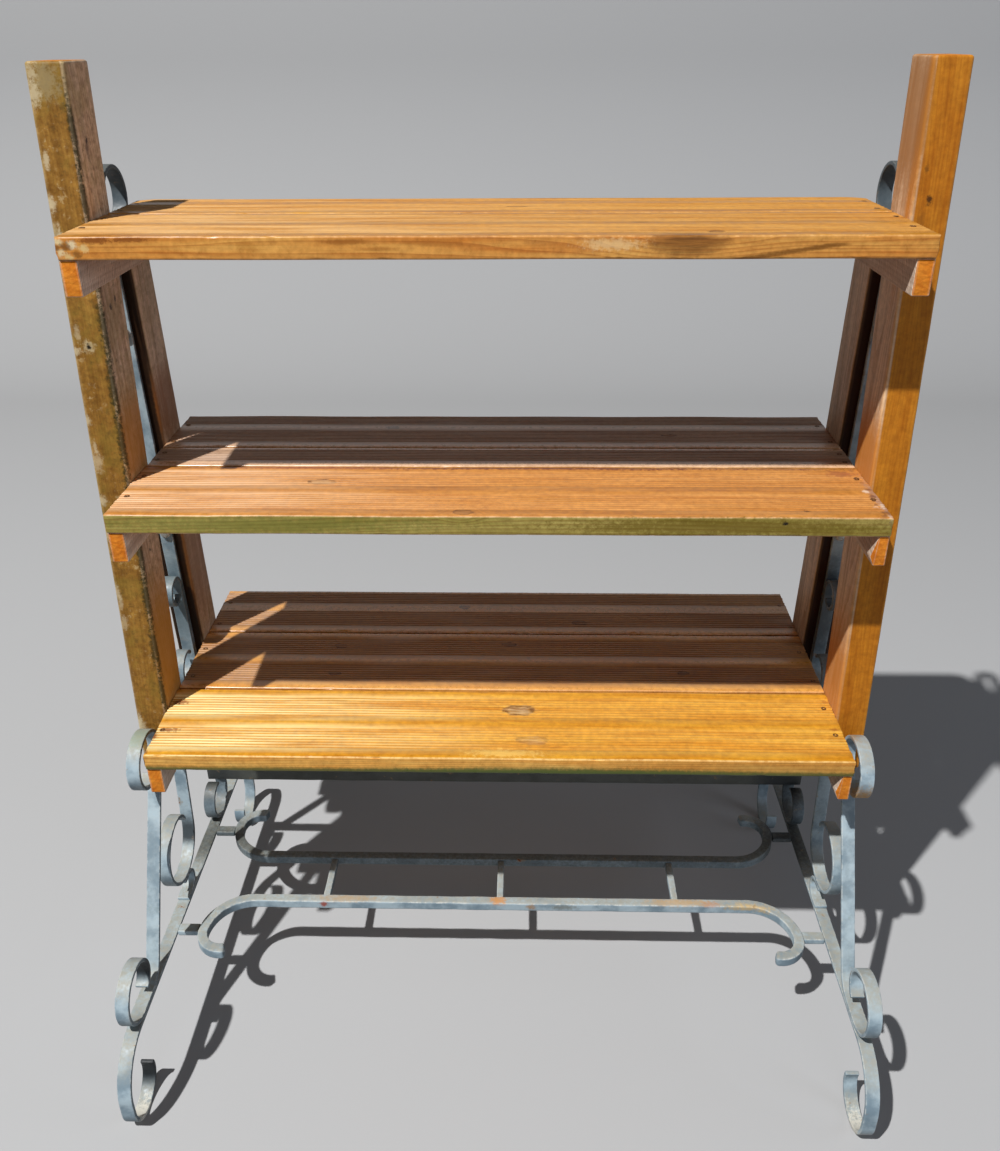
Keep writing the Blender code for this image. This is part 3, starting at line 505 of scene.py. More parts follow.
def softwood(name, face, edge, cut, rubbed, grain, ring, pith, knots=(), marks=(), worn=0.5, chip=0.4,
             groove_dirt_and_shade=0.4, fade=None, mottle=0.25, weathered=0, painted_shade=0, sawn=0, painted_side_shade=0,
             edge_grain=0.4, gloss=0.42, specular=0.35):
    """Stained or oiled softwood; each tone is a (deep, pale) pair of hex colours. It gives fine flame grain along
    the piece under a satin film, a second tone on sawn or stained edges, bright end grain, rubbed ridges, pale
    arrises that are partly worn wood and partly a painted highlight, grime and painted shade in the grooves,
    painted shade on grooved bands and on faces turned to -Y, and knots that the grain flows around."""
    material, add = new_material(name)
    coordinates = add("TexCoord")
    where = coordinates["Object"]
    parts = {key: add("Attribute", attribute_name=key) for key in WOOD_PARTS}
    turned = add("Mapping", where, Location=np.array(pith) * MM, Rotation=grain)
    drawn_out = add("Mapping", turned, (0.07, 1, 1))
    drift = add("TexNoise", Vector=drawn_out, Scale=per_metre(60), Detail=2)["Color"]
    flow = add("Shift", drift, (0, 0.03, 0.07), drawn_out)
    distances = [spread(add, where, centre, radii) for centre, radii, *_ in knots]
    for far in distances:
        flow = add("Shift", add("Ease", far, 0.4, 3, 1, 0), (0, 0, 3 * ring * MM), flow)
    growth = add("Wave", flow, WAVE_UNIT * per_metre(ring), 0.5, 2, 2, wave_type="RINGS",
                 rings_direction="X", wave_profile="SAW")
    broad = add("Noise", drawn_out, per_metre(13), 4, 0.6)
    fibres = add("Noise", add("Mapping", turned, (0.02, 1, 1)), per_metre(1.8), 2)
    speckle = add("Noise", where, per_metre(9), 5, 0.68)

    tones = []
    for shade in (0, 1):
        sided = add("Blend", parts["edge"], face[shade], edge[shade])
        tones.append(add("Blend", parts["cut"], sided, cut[shade]))
    colour = add("Blend", add("Range", broad, 0.24, 0.76), *tones)
    latewood = add("Range", growth, 0.45, 1, 0, add("Times plus", parts["edge"], edge_grain, 0.24))
    colour = add("Stain", latewood, colour, "BE9668")
    colour = add("Stain", add("Range", fibres, 0.35, 0.7, 0, 0.22), colour, "D2B48C")
    colour = add("Stain", add("Range", speckle, 0.34, 0.66, mottle, 0), colour, "8A6A44")

    ridge = add("Times", parts["band"], add("Ease", parts["groove"], 0.5, 0))
    scuffs = add("Times", ridge, add("Range", broad, 0.34, 0.6, 0.25 * worn, worn))
    if fade:
        along = add("SeparateXYZ", Vector=where)["X"]
        scuffs = add("Times", scuffs, add("Ease", along, fade[0] * MM, fade[1] * MM, 1, fade[2]))
    colour = add("Blend", scuffs, colour, rubbed)
    # painted shade: the grooved bands of boards under a shelf are darkened as if in its shadow
    if painted_shade:
        colour = add("Stain", add("Times", parts["band"], painted_shade), colour, "8E7E72")
    # groove bottoms darkened: partly grime, partly painted shade in the recesses
    colour = add("Stain", add("Range", parts["groove"], 0.35, 1, 0, groove_dirt_and_shade), colour, "8C6844")
    # pale arrises: partly rubbed wood, partly a painted highlight along the rounded edge
    worn_and_highlit_arris = add("Ease", speckle, 0.62 - 0.2 * worn, 0.72 - 0.2 * worn, 0.5 * chip, chip)
    colour = add("Blend", add("Times", worn_and_highlit_arris, parts["arris"]), colour, rubbed)

    flecks = add("Ease", add("Noise", drawn_out, per_metre(2.6), 3, 0.7), 0.38, 0.62)
    for far, (_, radii, (dark, pale), heart, outline) in zip(distances, knots):
        rag = KNOT_RAGGEDNESS / max(radii)
        ragged = add("Times plus", speckle, rag, far)
        core = add("Ease", ragged, 1.25 + rag / 2, 0.45 + rag / 2, 0, heart)
        colour = add("Blend", core, colour, add("Blend", flecks, dark, pale))
        off_rim = add("Math", ragged, 0.85 + rag / 2, operation="SUBTRACT")
        off_rim = add("Math", off_rim, operation="ABSOLUTE")
        broken = add("Range", flecks, 0, 1, outline, 0.15 * outline)
        colour = add("Stain", add("Ease", off_rim, 0.22, 0.05, 0, broken), colour, "5A3414")

    if weathered:
        blotch = add("Noise", where, per_metre(52), 5, 0.66)
        grit = add("Noise", where, per_metre(8), 5, 0.72)
        colour = add("Blend", add("Ease", blotch, 0.46, 0.6, 0, 0.7 * weathered), colour, "86742E")
        colour = add("Blend", add("Ease", grit, 0.46, 0.34, 0, weathered), colour, "5A4420")
        flakes = add("Ease", grit, 0.55, 0.66, 0, weathered)
        colour = add("Blend", add("Times", flakes, add("Range", blotch, 0.5, 0.38)), colour, rubbed)

    relief = add("Bump", fibres, 0.35, 0.4 * MM)
    relief = add("Bump", growth, 0.15, 0.5 * MM, relief)
    if sawn:
        slanted = add("Mapping", where, Rotation=(0.5, 0, 0))
        kerfs = add("Wave", slanted, WAVE_UNIT * per_metre(3.6), 9, 4, 0.8, bands_direction="Y")
        rough_face = add("Range", parts["cut"], 0, 1, sawn, 0.1 * sawn)
        colour = add("Stain", add("Range", kerfs, 0.35, 0.95, 0, rough_face), colour, "9A8A80")
        relief = add("Bump", kerfs, 0.3, 0.5 * MM, relief)
    # painted shade: faces turned to -Y are darkened, for the rear posts' front faces that lie in shade
    if painted_side_shade:
        ahead = add("SeparateXYZ", Vector=coordinates["Normal"])["Y"]
        colour = add("Stain", add("Range", ahead, -0.4, -0.9, 0, painted_side_shade), colour, "46341F")
    # the marks add stains, wear and knots, and also painted light and shade
    colour = add_marks(add, where, colour, marks)
    film = add("Range", speckle, 0.3, 0.7, gloss - 0.05, gloss + 0.09)
    rough = add("Times plus", add("Larger", parts["band"], parts["cut"]), 0.28, film)
    add("OutputMaterial", Surface=add("Surface", colour, rough, relief, 1.48, specular))
    return material


UPRIGHT_GRAIN = (0, pi / 2, 0)
POST_CUT = ("C8782A", "E29A4A")
# inner faces of the posts: a pale grey tone, partly painted skylight on faces in shade
INNER_FACE_AND_PAINTED_SKYLIGHT = ("C8AC90", "FFE4C4")
# strength of the painted shade on the rear posts' front faces
REAR_POST_FRONT_SHADE = 0.95
post_looks = {
    "left_front": (("896022", "B78A3F"), "CEB686", 0.75, 0.5, 0.6, 0.5),
    "left_rear": (("6E4A1E", "946A30"), "C8AE84", 0.5, 0.5, 0.5, 0.3),
    "right_front": (("B76C13", "DF952A"), "ECAC4C", 0.35, 0.5, 0.35, 0),
    "right_rear": (("7E4A14", "A8682A"), "D09C58", 0.35, 0.45, 0.35, 0),
}
weathering = np.random.default_rng(5)
chance = weathering.random


def on_front(x, z, y=0):
    """A place on a front post's front face, in mm: x and z as given, y that far behind the leaning face."""
    return x, front_low[1] / MM + tan(POST_LEAN) * (z - POST_FOOT / MM) + y, z


def sawn_ends(rings):
    """1 on the two rings at each end of a piece of wood, else 0."""
    cut = np.zeros((len(rings), 1))
    cut[[0, 1, -2, -1]] = 1
    return cut


worn_patches = [
    ("D2C09A", on_front(-491 + 7 * chance(), z), (3 + 6 * chance(), 12, 4 + 12 * chance()), 0.35 + 0.45 * chance())
    for z in weathering.uniform(400, 1250, 22)]
# painted shade: a dark line down the left front post's inner front arris, on the side away from the key light
painted_arris_shade = [("2E2C14", on_front(-451 - 2 * chance(), z, 1), (5 + 3 * chance(), 6, 60), 0.85)
              for z in range(420, 1260, 70)]
post_marks_and_painted_light = {
    "left_front": [
        # painted light: warm orange patches low on the left front post's inner face, light thrown back by the boards
        ("A8701E", (-450, 29, 835), (6, 120, 80), 0.75, 0.8), ("B0761C", (-450, 9, 540), (6, 120, 150), 0.85, 0.8),
        ("A4926A", on_front(-474, 1240), (22, 12, 24), 0.6), *worn_patches, *painted_arris_shade,
        ("C8B48A", on_front(-473, 960), (8, 8, 9), 0.8), ("1E160A", on_front(-473, 960), (3.5, 6, 4.5), 1),
        ("B8AE98", on_front(-471, 384), (34, 40, 26), 0.7), ("2A1A10", (-450, 30, 1000), (5, 4, 5), 0.9),
        ("2A1A10", (-450, 46, 1006), (5, 4, 5), 0.9), ("2A1A10", (-450, 14, 690), (5, 3, 4), 0.9),
        ("5E4636", (-450, 44, 1172), (5, 5, 16), 0.7), ("3A281C", (-450, 46, 1180), (5, 3, 5), 0.9)],
    "left_rear": [
        # painted light: warm orange patches on the left rear post's inner face, light thrown back by the boards
        ("8A5020", (-450, 157, 840), (6, 120, 70), 0.75, 0.8), ("8A5426", (-450, 165, 600), (6, 120, 140), 0.6, 0.8)],
    "right_front": [
        # painted highlight: an orange line down the right front post's inner front arris
        ("CC7E14", on_front(450, 1180, 6), (6, 13, 200), 0.85, 0.6), ("3A200C", on_front(468, 1118), (4, 7, 6), 0.9),
        ("6E4414", on_front(460, 1150), (3, 6, 5), 0.7), ("8A5418", on_front(462, 1080), (5, 8, 40), 0.5),
        # tan and amber on the right front post's inner face: partly stain, partly painted sunlight where that face is
        # lit
        ("A06A30", (450, 64, 1200), (8, 130, 120), 0.8, 0.8), ("C47A22", (450, 24, 815), (8, 140, 84), 0.85, 0.8),
        ("C47A22", (450, 0, 500), (8, 140, 120), 0.8, 0.8)],
}
for end, side in SIDES.items():
    for seed, row in enumerate(("front", "rear")):
        node = f"{end}_{row}_post"
        low, high = box(node)
        width = high[0] - low[0]
        heights = np.linspace(low[2], high[2], ceil((high[2] - low[2]) / POST_STEP))
        reach = outer_reach(heights) - POST_DEPTH / 2
        path = np.c_[np.full(len(heights), (low[0] + high[0]) / 2),
                     POST_AXIS + (reach if row == "rear" else -reach), heights]
        section, arris = eased_section(width, POST_DEPTH, POST_EASING, flats=7, rises=5)
        rings = carry(section, path, (1, 0, 0), POST_EASING, seed + 10, up=(0, 1, 0), uneven=(0.004, 0.004))
        inner = (section[:, 0] * side < POST_EASING - width / 2 + 1e-6).astype(float)
        stain, rubbed, worn, chip, mottle, weathered = post_looks[f"{end}_{row}"]
        finish = softwood(f"stained_softwood_{node}", stain, INNER_FACE_AND_PAINTED_SKYLIGHT, POST_CUT, rubbed, UPRIGHT_GRAIN, ring=5,
                          pith=(40 * seed, 30 * side, 25 - 50 * seed), marks=post_marks_and_painted_light.get(f"{end}_{row}", ()),
                          worn=worn, chip=chip, mottle=mottle, weathered=weathered,
                          painted_side_shade=REAR_POST_FRONT_SHADE if row == "rear" else 0, edge_grain=0.25, gloss=0.55, specular=0.2)
        mesh = skin(node, rings, arris=arris, cut=sawn_ends(rings), edge=inner)
        place(f"{node}_timber", mesh, finish, "post_wood", node)


# Coach screws: zinc-plated steel, forged with a hexagon head on a round flange. Two through each upright
# clamp it to its post; the zinc has dulled and the heads are stained with rust.
COACH_RADIUS = 5.8 * MM
COACH_HEAD = 4 * MM
COACH_SHANK_RADIUS = 3 * MM
COACH_LENGTH = 30 * MM
COACH_FLANGE = 1.3 * COACH_RADIUS
SCREW_POINTS = 48
POINT_LENGTH = 6 * MM
CROSS_ARM = 0.16
CROSS_REACH = 0.62


def dulled_zinc(name, dark, pale, rusted):
    """Zinc plating gone dull outdoors. It gives a grey metal with a blurred shine, darker mottling and brown
    rust gathering in patches, the more the lower the noise level at which it is rusted."""
    material, add = new_material(name)
    mottling = add("Noise", add("TexCoord")["Object"], per_metre(3), 4)
    rust = add("Ease", mottling, rusted, rusted + 0.1, 0, 0.8)
    colour = add("Blend", rust, add("Blend", mottling, dark, pale), "7A4A26")
    blur = add("Range", mottling, 0.3, 0.7, 0.38, 0.6)
    metal = add("Range", rust, 0, 1, 0.9, 0.1)
    add("OutputMaterial", Surface=add("Surface", colour, blur, Metallic=metal))
    return material


zinc = dulled_zinc("dulled_zinc_plating", "7C7A74", "C4C1B8", 0.56)


def screw(name, seat, axis, outline, facets=0, recess=0):
    """A turned screw: rings of an outline of (height above the seat, radius) about an axis. Facets flatten its
    widest rings to a polygon, r cos(pi/n) / cos(angle from the flat's middle); a recess sinks a cross into
    the points of the last rings that lie near either arm."""
    turn = tau * (np.arange(SCREW_POINTS) + 0.5) / SCREW_POINTS
    height, radius = np.array(outline).T
    widest = radius.max()
    reach = np.tile(radius[:, None], (1, SCREW_POINTS))
    if facets:
        flat = cos(pi / facets) / np.cos((turn % (tau / facets)) - pi / facets)
        head = (radius > 0.55 * widest) & (radius < 0.95 * widest)
        reach[head] = np.minimum(reach[head] / cos(pi / facets) * flat, reach[head] * 1.15)
    spot = reach[..., None] * np.stack([np.cos(turn), np.sin(turn)], axis=-1)
    rise = np.tile(height[:, None], (1, SCREW_POINTS))
    if recess:
        in_cross = (np.abs(spot).min(-1) < CROSS_ARM * widest) & (np.abs(spot).max(-1) < CROSS_REACH * widest)
        rise[in_cross & (height[:, None] > 0.3 * height.max())] -= recess
    axis = np.array(axis) / np.linalg.norm(axis)
    side = np.cross(axis, (0.31, 0.2, 0.93) if abs(axis[2]) < 0.9 else (1, 0, 0))
    side /= np.linalg.norm(side)
    rings = seat + spot[..., :1] * side + spot[..., 1:] * np.cross(axis, side) + rise[..., None] * axis
    return skin(name, rings)


coach_outline = [
    (-COACH_LENGTH, 0.6 * MM), (POINT_LENGTH - COACH_LENGTH, COACH_SHANK_RADIUS),
    (-STRAP_THICK, COACH_SHANK_RADIUS), (0, COACH_SHANK_RADIUS), (0, COACH_FLANGE),
    (0.6 * MM, 1.36 * COACH_RADIUS), (1.1 * MM, COACH_FLANGE), (1.2 * MM, COACH_RADIUS),
    (0.82 * COACH_HEAD, COACH_RADIUS), (COACH_HEAD, 0.84 * COACH_RADIUS),
    (1.02 * COACH_HEAD, 0.3 * COACH_RADIUS)]
for end in SIDES:
    for row, facing in (("front", 1), ("rear", -1)):
        out = np.array([0, facing * cos(POST_LEAN), -sin(POST_LEAN)])
        for level in ("low", "high"):
            node = f"{end}_{row}_coach_screw_{level}"
            low, high = box(node)
            half_head = COACH_RADIUS * cos(POST_LEAN)
            crown = np.array([(low[0] + high[0]) / 2, high[1] if facing > 0 else low[1],
                              low[2] + half_head if facing < 0 else high[2] - half_head])
            mesh = screw(node, crown - COACH_HEAD * out, out, coach_outline, facets=6)
            place(f"{node}_steel", mesh, zinc, "screw_steel", node)


# Cleats: rough-sawn softwood battens under both ends of each shelf, screwed to the posts. Only their noses,
# cut after staining, show bright orange wood; two on the right have been sawn to a five-sided section.
CLEAT_EASING = 1.2 * MM
CLEAT_STEP = 6 * MM
CLEAT_CROWN = 12 * MM
CLEAT_TOP_BEVEL = 7 * MM
CLEAT_FOOT_BEVEL = 5 * MM
CLEAT_GRAIN = (0, 0, pi / 2)
SAWN_FACE = ("C4AE9C", "FFEEDA")
SHELVES = ("bottom", "middle", "top")

sawn = softwood("rough_sawn_softwood", SAWN_FACE, SAWN_FACE, ("DC740C", "FFA436"), "E8D0B4", CLEAT_GRAIN, ring=7,
                pith=(20, 30, 40), worn=0.6, sawn=0.5, gloss=0.7)
for end in SIDES:
    for seed, shelf in enumerate(SHELVES):
        node = f"{end}_{shelf}_cleat"
        low, high = box(node)
        width, _, height = high - low
        path = middle_line(low, high, 1, CLEAT_STEP)
        section, arris = eased_section(width, height, CLEAT_EASING, flats=4, rises=6)
        if end == "right" and shelf != "top":
            bevel = np.interp(section[:, 1] + height / 2, [0, CLEAT_CROWN, height],
                              [CLEAT_FOOT_BEVEL, 0, CLEAT_TOP_BEVEL])
            section = section + np.c_[bevel * (0.5 - section[:, 0] / width), np.zeros(len(section))]
        rings = carry(section, path, (1, 0, 0), CLEAT_EASING, seed + 20, up=(0, 0, 1), uneven=(0.01, 0.006))
        mesh = skin(node, rings, arris=arris, cut=sawn_ends(rings))
        place(f"{node}_batten", mesh, sawn, "sawn_cleat", node)


# Cleat screws: pan-head, cross-recessed wood screws of zinc-plated steel, two through each cleat, one into
# the front post and one into the rear post. Their domed heads sit on the cleat's inner face.
CLEAT_SCREW_RADIUS = 4.5 * MM
CLEAT_SCREW_HEAD = 2.8 * MM
CLEAT_SCREW_SHANK = 2.2 * MM
CLEAT_SCREW_LENGTH = 30 * MM
CLEAT_SCREW_RECESS = 1.2 * MM
pan_outline = [
    (-CLEAT_SCREW_LENGTH, 0.5 * MM), (POINT_LENGTH - CLEAT_SCREW_LENGTH, CLEAT_SCREW_SHANK),
    (0, CLEAT_SCREW_SHANK), (0, CLEAT_SCREW_RADIUS),
    *((CLEAT_SCREW_HEAD * sin(t), CLEAT_SCREW_RADIUS * cos(t) ** 0.6) for t in np.linspace(0.25, 1.45, 9))]
for end, side in SIDES.items():
    for shelf in SHELVES:
        for row in ("front", "rear"):
            node = f"{end}_{shelf}_cleat_screw_{row}"
            low, high = box(node)
            seat = (low + high) / 2
            seat[0] = low[0] + CLEAT_SCREW_HEAD if side > 0 else high[0] - CLEAT_SCREW_HEAD
            mesh = screw(node, seat, (-side, 0, 0), pan_outline, recess=CLEAT_SCREW_RECESS)
            place(f"{node}_steel", mesh, zinc, "screw_steel", node)


# Boards: softwood decking, 145 by 24 mm, moulded with two bands of fine grooves between smooth bands, oiled
# honey-orange. The grooves have worn shallow and pale in places; some boards are ripped narrower.
BOARD_WIDTH = 145 * MM
BOARD_EASING = 2 * MM
END_EASING = 1 * MM
EDGE_BAND = 14 * MM
CENTRE_BAND = 18 * MM
GROOVE_PITCH = 5.5 * MM
GROOVE_WIDTH = 2.8 * MM
GROOVE_DEPTH = 1.6 * MM
GROOVE_POINTS = np.array([-1, -0.6, -0.3, 0, 0.3, 0.6, 1])
WEAR_LENGTH = 45 * MM
BOARD_STEP = 6 * MM
BOARD_WAVE = 0.3 * MM
BOARD_WAVE_LENGTH = 330 * MM
NICK = 1.6 * MM
NICK_LENGTH = 26 * MM
RAGGED_END = 0.8 * MM
RAGGED_LENGTH = 9 * MM
RAGGED_REACH = 4 * MM
ROUNDED_CORNER = (12 * MM, 26 * MM)


def groove_centres(width):
    """Where the grooves run across a board: two bands of equal pitch, as far as the board still is wide."""
    band = BOARD_WIDTH / 2 - EDGE_BAND - CENTRE_BAND / 2
    count = int(band // GROOVE_PITCH)
    first = (band - count * GROOVE_PITCH) / 2 + GROOVE_PITCH * (np.arange(count) + 0.5)
    centres = np.r_[EDGE_BAND + first, BOARD_WIDTH / 2 + CENTRE_BAND / 2 + first]
    return centres[centres + GROOVE_WIDTH / 2 < width - 2 * BOARD_EASING]


def deck_board(node, seed):
    """Mesh of a board along X: an eased rectangle whose top dips by a raised cosine at every groove, as deep
    as the wear at that place has left it, with nicked arrises and ragged ends."""
    low, high = box(node)
    length, width, thickness = high - low
    centres = groove_centres(width)
    across = (centres[:, None] + GROOVE_WIDTH / 2 * GROOVE_POINTS).ravel()
    across = np.union1d(across, np.linspace(3 * BOARD_EASING, width - 3 * BOARD_EASING, 9))
    turn = np.linspace(0, pi / 2, 5)
    arc = BOARD_EASING * np.c_[1 - np.cos(turn), np.sin(turn) - 1]
    side = np.c_[np.zeros(3), np.linspace(-0.46 * thickness, -1.6 * BOARD_EASING, 3)]
    edge = np.vstack([side, arc])
    upper = np.vstack([edge, np.c_[across, np.zeros(len(across))], edge[::-1] * (-1, 1) + (width, 0)])
    section = np.vstack([upper, upper[::-1] * (1, -1) - (0, thickness)])
    count = len(upper)
    top = np.arange(2 * count) < count
    dip = np.clip(1 - np.abs(section[:, :1] - centres) / (GROOVE_WIDTH / 2), 0, None).max(axis=1)
    dip = np.where(top, np.sin(dip * pi / 2) ** 2, 0)
    ends = END_EASING * (1 - np.cos(np.linspace(0, pi / 2, 4)))
    inner = np.linspace(0, length, ceil(length / BOARD_STEP))[1:-1]
    along = np.r_[ends, inner, length - ends[::-1]]
    to_end = np.minimum(along, length - along)
    inset = END_EASING - np.sqrt(END_EASING**2 - np.clip(END_EASING - to_end, 0, None) ** 2)
    rings = np.empty((len(along), 2 * count, 3))
    rings[..., 0] = low[0] + along[:, None]
    rings[..., 1] = low[1] + section[:, 0] + inset[:, None] * (1 - 2 * section[:, 0] / width)
    rings[..., 2] = high[2] + section[:, 1] + inset[:, None] * (-1 - 2 * section[:, 1] / thickness)
    wear = np.clip(0.75 + 0.4 * swell(rings[..., :2] * (0.2, 1), WEAR_LENGTH, seed), 0.15, 1)
    rings[..., 2] -= GROOVE_DEPTH * wear * dip
    rim = np.r_[np.zeros(4), np.ones(3), np.zeros(len(across) + 2), np.ones(3), np.zeros(4)]
    rim = np.r_[rim, rim[::-1]]
    nicks = NICK * rim * np.clip(swell(rings * (1, 3, 3), NICK_LENGTH, seed + 50) - 0.75, 0, 1)
    rings[..., 1] += nicks * np.sign(width / 2 - section[:, 0])
    rings[..., 2] += (nicks * np.sign(-thickness / 2 - section[:, 1])
                      + BOARD_WAVE * swell(rings[..., :1], BOARD_WAVE_LENGTH, seed))
    ragged = RAGGED_END * swell(rings[..., 1:], RAGGED_LENGTH, seed + 70)
    ragged *= np.clip(1 - to_end / RAGGED_REACH, 0, 1)[:, None]
    rings[..., 0] += ragged * np.sign(length / 2 - along)[:, None]
    if node == "top_rear_board":
        corner = np.clip(1 - to_end / ROUNDED_CORNER[1], 0, 1)[:, None] ** 2
        rings[..., 1] -= ROUNDED_CORNER[0] * corner * np.clip(2 * section[:, 0] / width - 1, 0, 1)
    grooved = np.abs(section[:, :1] - centres).min(axis=1) < 0.6 * GROOVE_PITCH
    sided = np.r_[np.ones(5), np.zeros(count - 10), np.ones(5)]
    cut = sawn_ends(rings)
    return skin(node, rings, groove=dip * (1 - cut), band=(grooved & top) * (1 - cut), arris=rim,
                edge=np.r_[sided, sided[::-1]], cut=cut)


DECK_GRAIN = (0, 0, 0)
DECK_CUT = ("B06A22", "D8964A")
HONEY_EDGE = ("C8842C", "F0B45A")
FAR_FADE = (-450, 450, 0.5)
FAR_FACE = ("DA9A50", "F8BA6A")
FAR_RIDGE = "E8C8A8"
PINK_FACE = ("DCB088", "FCD4AC")
# Columns: face and edge tones, rubbed tone, wear, groove darkening that is partly grime and partly painted shade,
# fade of the scuffs along X, and painted shade on the grooved bands of the boards under a shelf.
deck_looks = {
    "bottom_front_board": (("D68A1C", "F4B83A"), ("FFAE48", "FFD274"), "FFEEAE", 0.95, 0.2, (-400, 60, 0.1), 0),
    "bottom_middle_board": (("E29A42", "FCBC5C"), HONEY_EDGE, FAR_RIDGE, 0.3, 0.65, FAR_FADE, 0.55),
    "bottom_rear_board": (FAR_FACE, HONEY_EDGE, FAR_RIDGE, 0.3, 0.65, FAR_FADE, 0.5),
    "middle_front_board": (("C47E34", "E09E4E"), ("8F822C", "CFBC6C"), "F0CEA8", 0.75, 0.2, (-430, 0, 0.12), 0),
    "middle_strip_board": (PINK_FACE, HONEY_EDGE, FAR_RIDGE, 0.3, 0.6, FAR_FADE, 0.55),
    "middle_rear_board": (PINK_FACE, HONEY_EDGE, FAR_RIDGE, 0.3, 0.6, FAR_FADE, 0.55),
    "top_front_board": (("BE7A28", "DAA03E"), ("DE8630", "F8BE64"), "E6C08C", 0.65, 0.2, (-400, 300, 0.3), 0),
    "top_rear_board": (("C47E28", "E0A43E"), HONEY_EDGE, "E6C08C", 0.55, 0.2, (-400, 300, 0.3), 0),
}
GREY_KNOT = ("7A5634", "D2B68C")
BROWN_KNOT = ("5A3818", "A07040")
SOFT_KNOT = ("6E4418", "9A6228")
board_knots = {
    "bottom_front_board": (
        ((28, -21, 466), (22, 12, 10), GREY_KNOT, 0.75, 0.7), ((46, -85, 466), (22, 9, 8), GREY_KNOT, 0.4, 0.4)),
    "bottom_middle_board": (
        ((-240, 135, 466), (10, 6, 4), BROWN_KNOT, 0.9, 0.9), ((-236, 62, 466), (9, 5, 4), BROWN_KNOT, 0.9, 0.9),
        ((12, 141, 466), (12, 6, 4), BROWN_KNOT, 0.8, 0.8), ((262, 70, 466), (9, 5, 4), BROWN_KNOT, 0.9, 0.9)),
    "bottom_rear_board": (
        ((-60, 250, 466), (10, 6, 4), BROWN_KNOT, 0.8, 0.8), ((120, 205, 466), (12, 6, 5), BROWN_KNOT, 0.7, 0.8)),
    "middle_front_board": (
        ((-215, -1, 792), (18, 8, 6), GREY_KNOT, 0.45, 0.7), ((-37, -86, 792), (12, 8, 7), BROWN_KNOT, 0.5, 0.8)),
    "middle_rear_board": (
        ((-150, 190, 792), (10, 6, 5), BROWN_KNOT, 0.8, 0.8), ((230, 160, 792), (9, 5, 4), BROWN_KNOT, 0.9, 0.9)),
    "top_front_board": (
        ((197, -82, 1092), (42, 14, 15), SOFT_KNOT, 0.85, 0.2), ((229, -58, 1099), (9, 5, 4), BROWN_KNOT, 0.9, 0.9)),
    "top_rear_board": (((22, 110, 1099), (12, 4, 4), BROWN_KNOT, 0.7, 0.8),),
}
frayed_end = [
    (("E6D2BC", "6E4026", "8A5A3A")[i % 3], (447 - 9 * chance(), weathering.uniform(-96, 44), 792),
     (2 + 4 * chance(), 2 + 7 * chance(), 5), 0.35 + 0.4 * chance()) for i in range(15)]
sweeping_grain = [("7A4A14", (258 + 10 * i, -82, 1076 + 1.5 * i), (17, 4, 2.4), 0.7, 1) for i in range(10)]
mottled_end = [(tint, (x, -82, z), (6, 5, 5), 0.8) for tint, x, z in (
    ("EAD6A6", -446, 1094), ("EAD6A6", -445, 1083), ("F0E0B8", -432, 1091), ("7A4A1C", -439, 1089),
    ("8A5A24", -428, 1081), ("E8C888", -420, 1087), ("7A4A1C", -449, 1088), ("E2C284", -437, 1079))]
board_marks = {
    "bottom_front_board": (
        ("8A4A1E", (-436, -10, 466), (16, 6, 6), 0.8), ("8A4A1E", (-434, -71, 466), (18, 6, 6), 0.8),
        ("7A3F1A", (-449, -84, 466), (6, 10, 9), 0.85), ("7A3F1A", (-449, -116, 460), (6, 6, 9), 0.8),
        ("9A5A22", (440, -58, 466), (7, 4, 4), 0.7), ("9A5A22", (446, 2, 466), (8, 5, 5), 0.5),
        ("A87028", (340, -123, 452), (260, 5, 16), 0.4, 1.5), ("FFD878", (10, -112, 466), (60, 10, 6), 0.5),
        # the dark green band along the lower front edge: partly green stain, partly painted shade under the eased
        # arris
        ("4E5828", (-60, -123, 443), (2400, 12, 8), 0.9, 0.8), ("525E2A", (90, -123, 444), (330, 12, 11), 0.9, 1)),
    "middle_front_board": (
        ("6A2A14", (60, 46, 793), (420, 9, 5), 0.9), ("A0553A", (-250, 44, 793), (160, 6, 5), 0.6),
        ("9A8078", (449, -40, 788), (10, 66, 16), 0.6), *frayed_end, ("8E5038", (425, 30, 792), (22, 12, 5), 0.6),
        ("6E7430", (-260, -98, 780), (240, 5, 12), 0.5), ("6E5810", (260, -98, 780), (240, 5, 14), 0.7),
        ("5A3414", (356, -80, 792), (6, 4, 3), 0.8), ("20160C", (329, -98, 784), (4, 4, 3), 1)),
    "top_front_board": (
        *mottled_end, ("7A3E14", (-408, -82, 1095), (24, 6, 4), 0.75), *sweeping_grain,
        ("7A3E14", (-372, -82, 1096), (26, 6, 3), 0.65), ("FFDCA0", (120, -82, 1090), (40, 5, 7), 0.5),
        ("9A5C1C", (-60, -82, 1092), (40, 5, 5), 0.4, 1.5), ("8E5216", (-150, -82, 1093), (28, 5, 4), 0.6, 1.5),
        ("9A5C1C", (-118, -82, 1086), (24, 5, 3), 0.5, 1.5), ("A8681E", (-252, -82, 1088), (15, 5, 9), 0.4, 1.5),
        ("5E3A1A", (157, -2, 1099), (12, 4, 3), 0.6)),
}
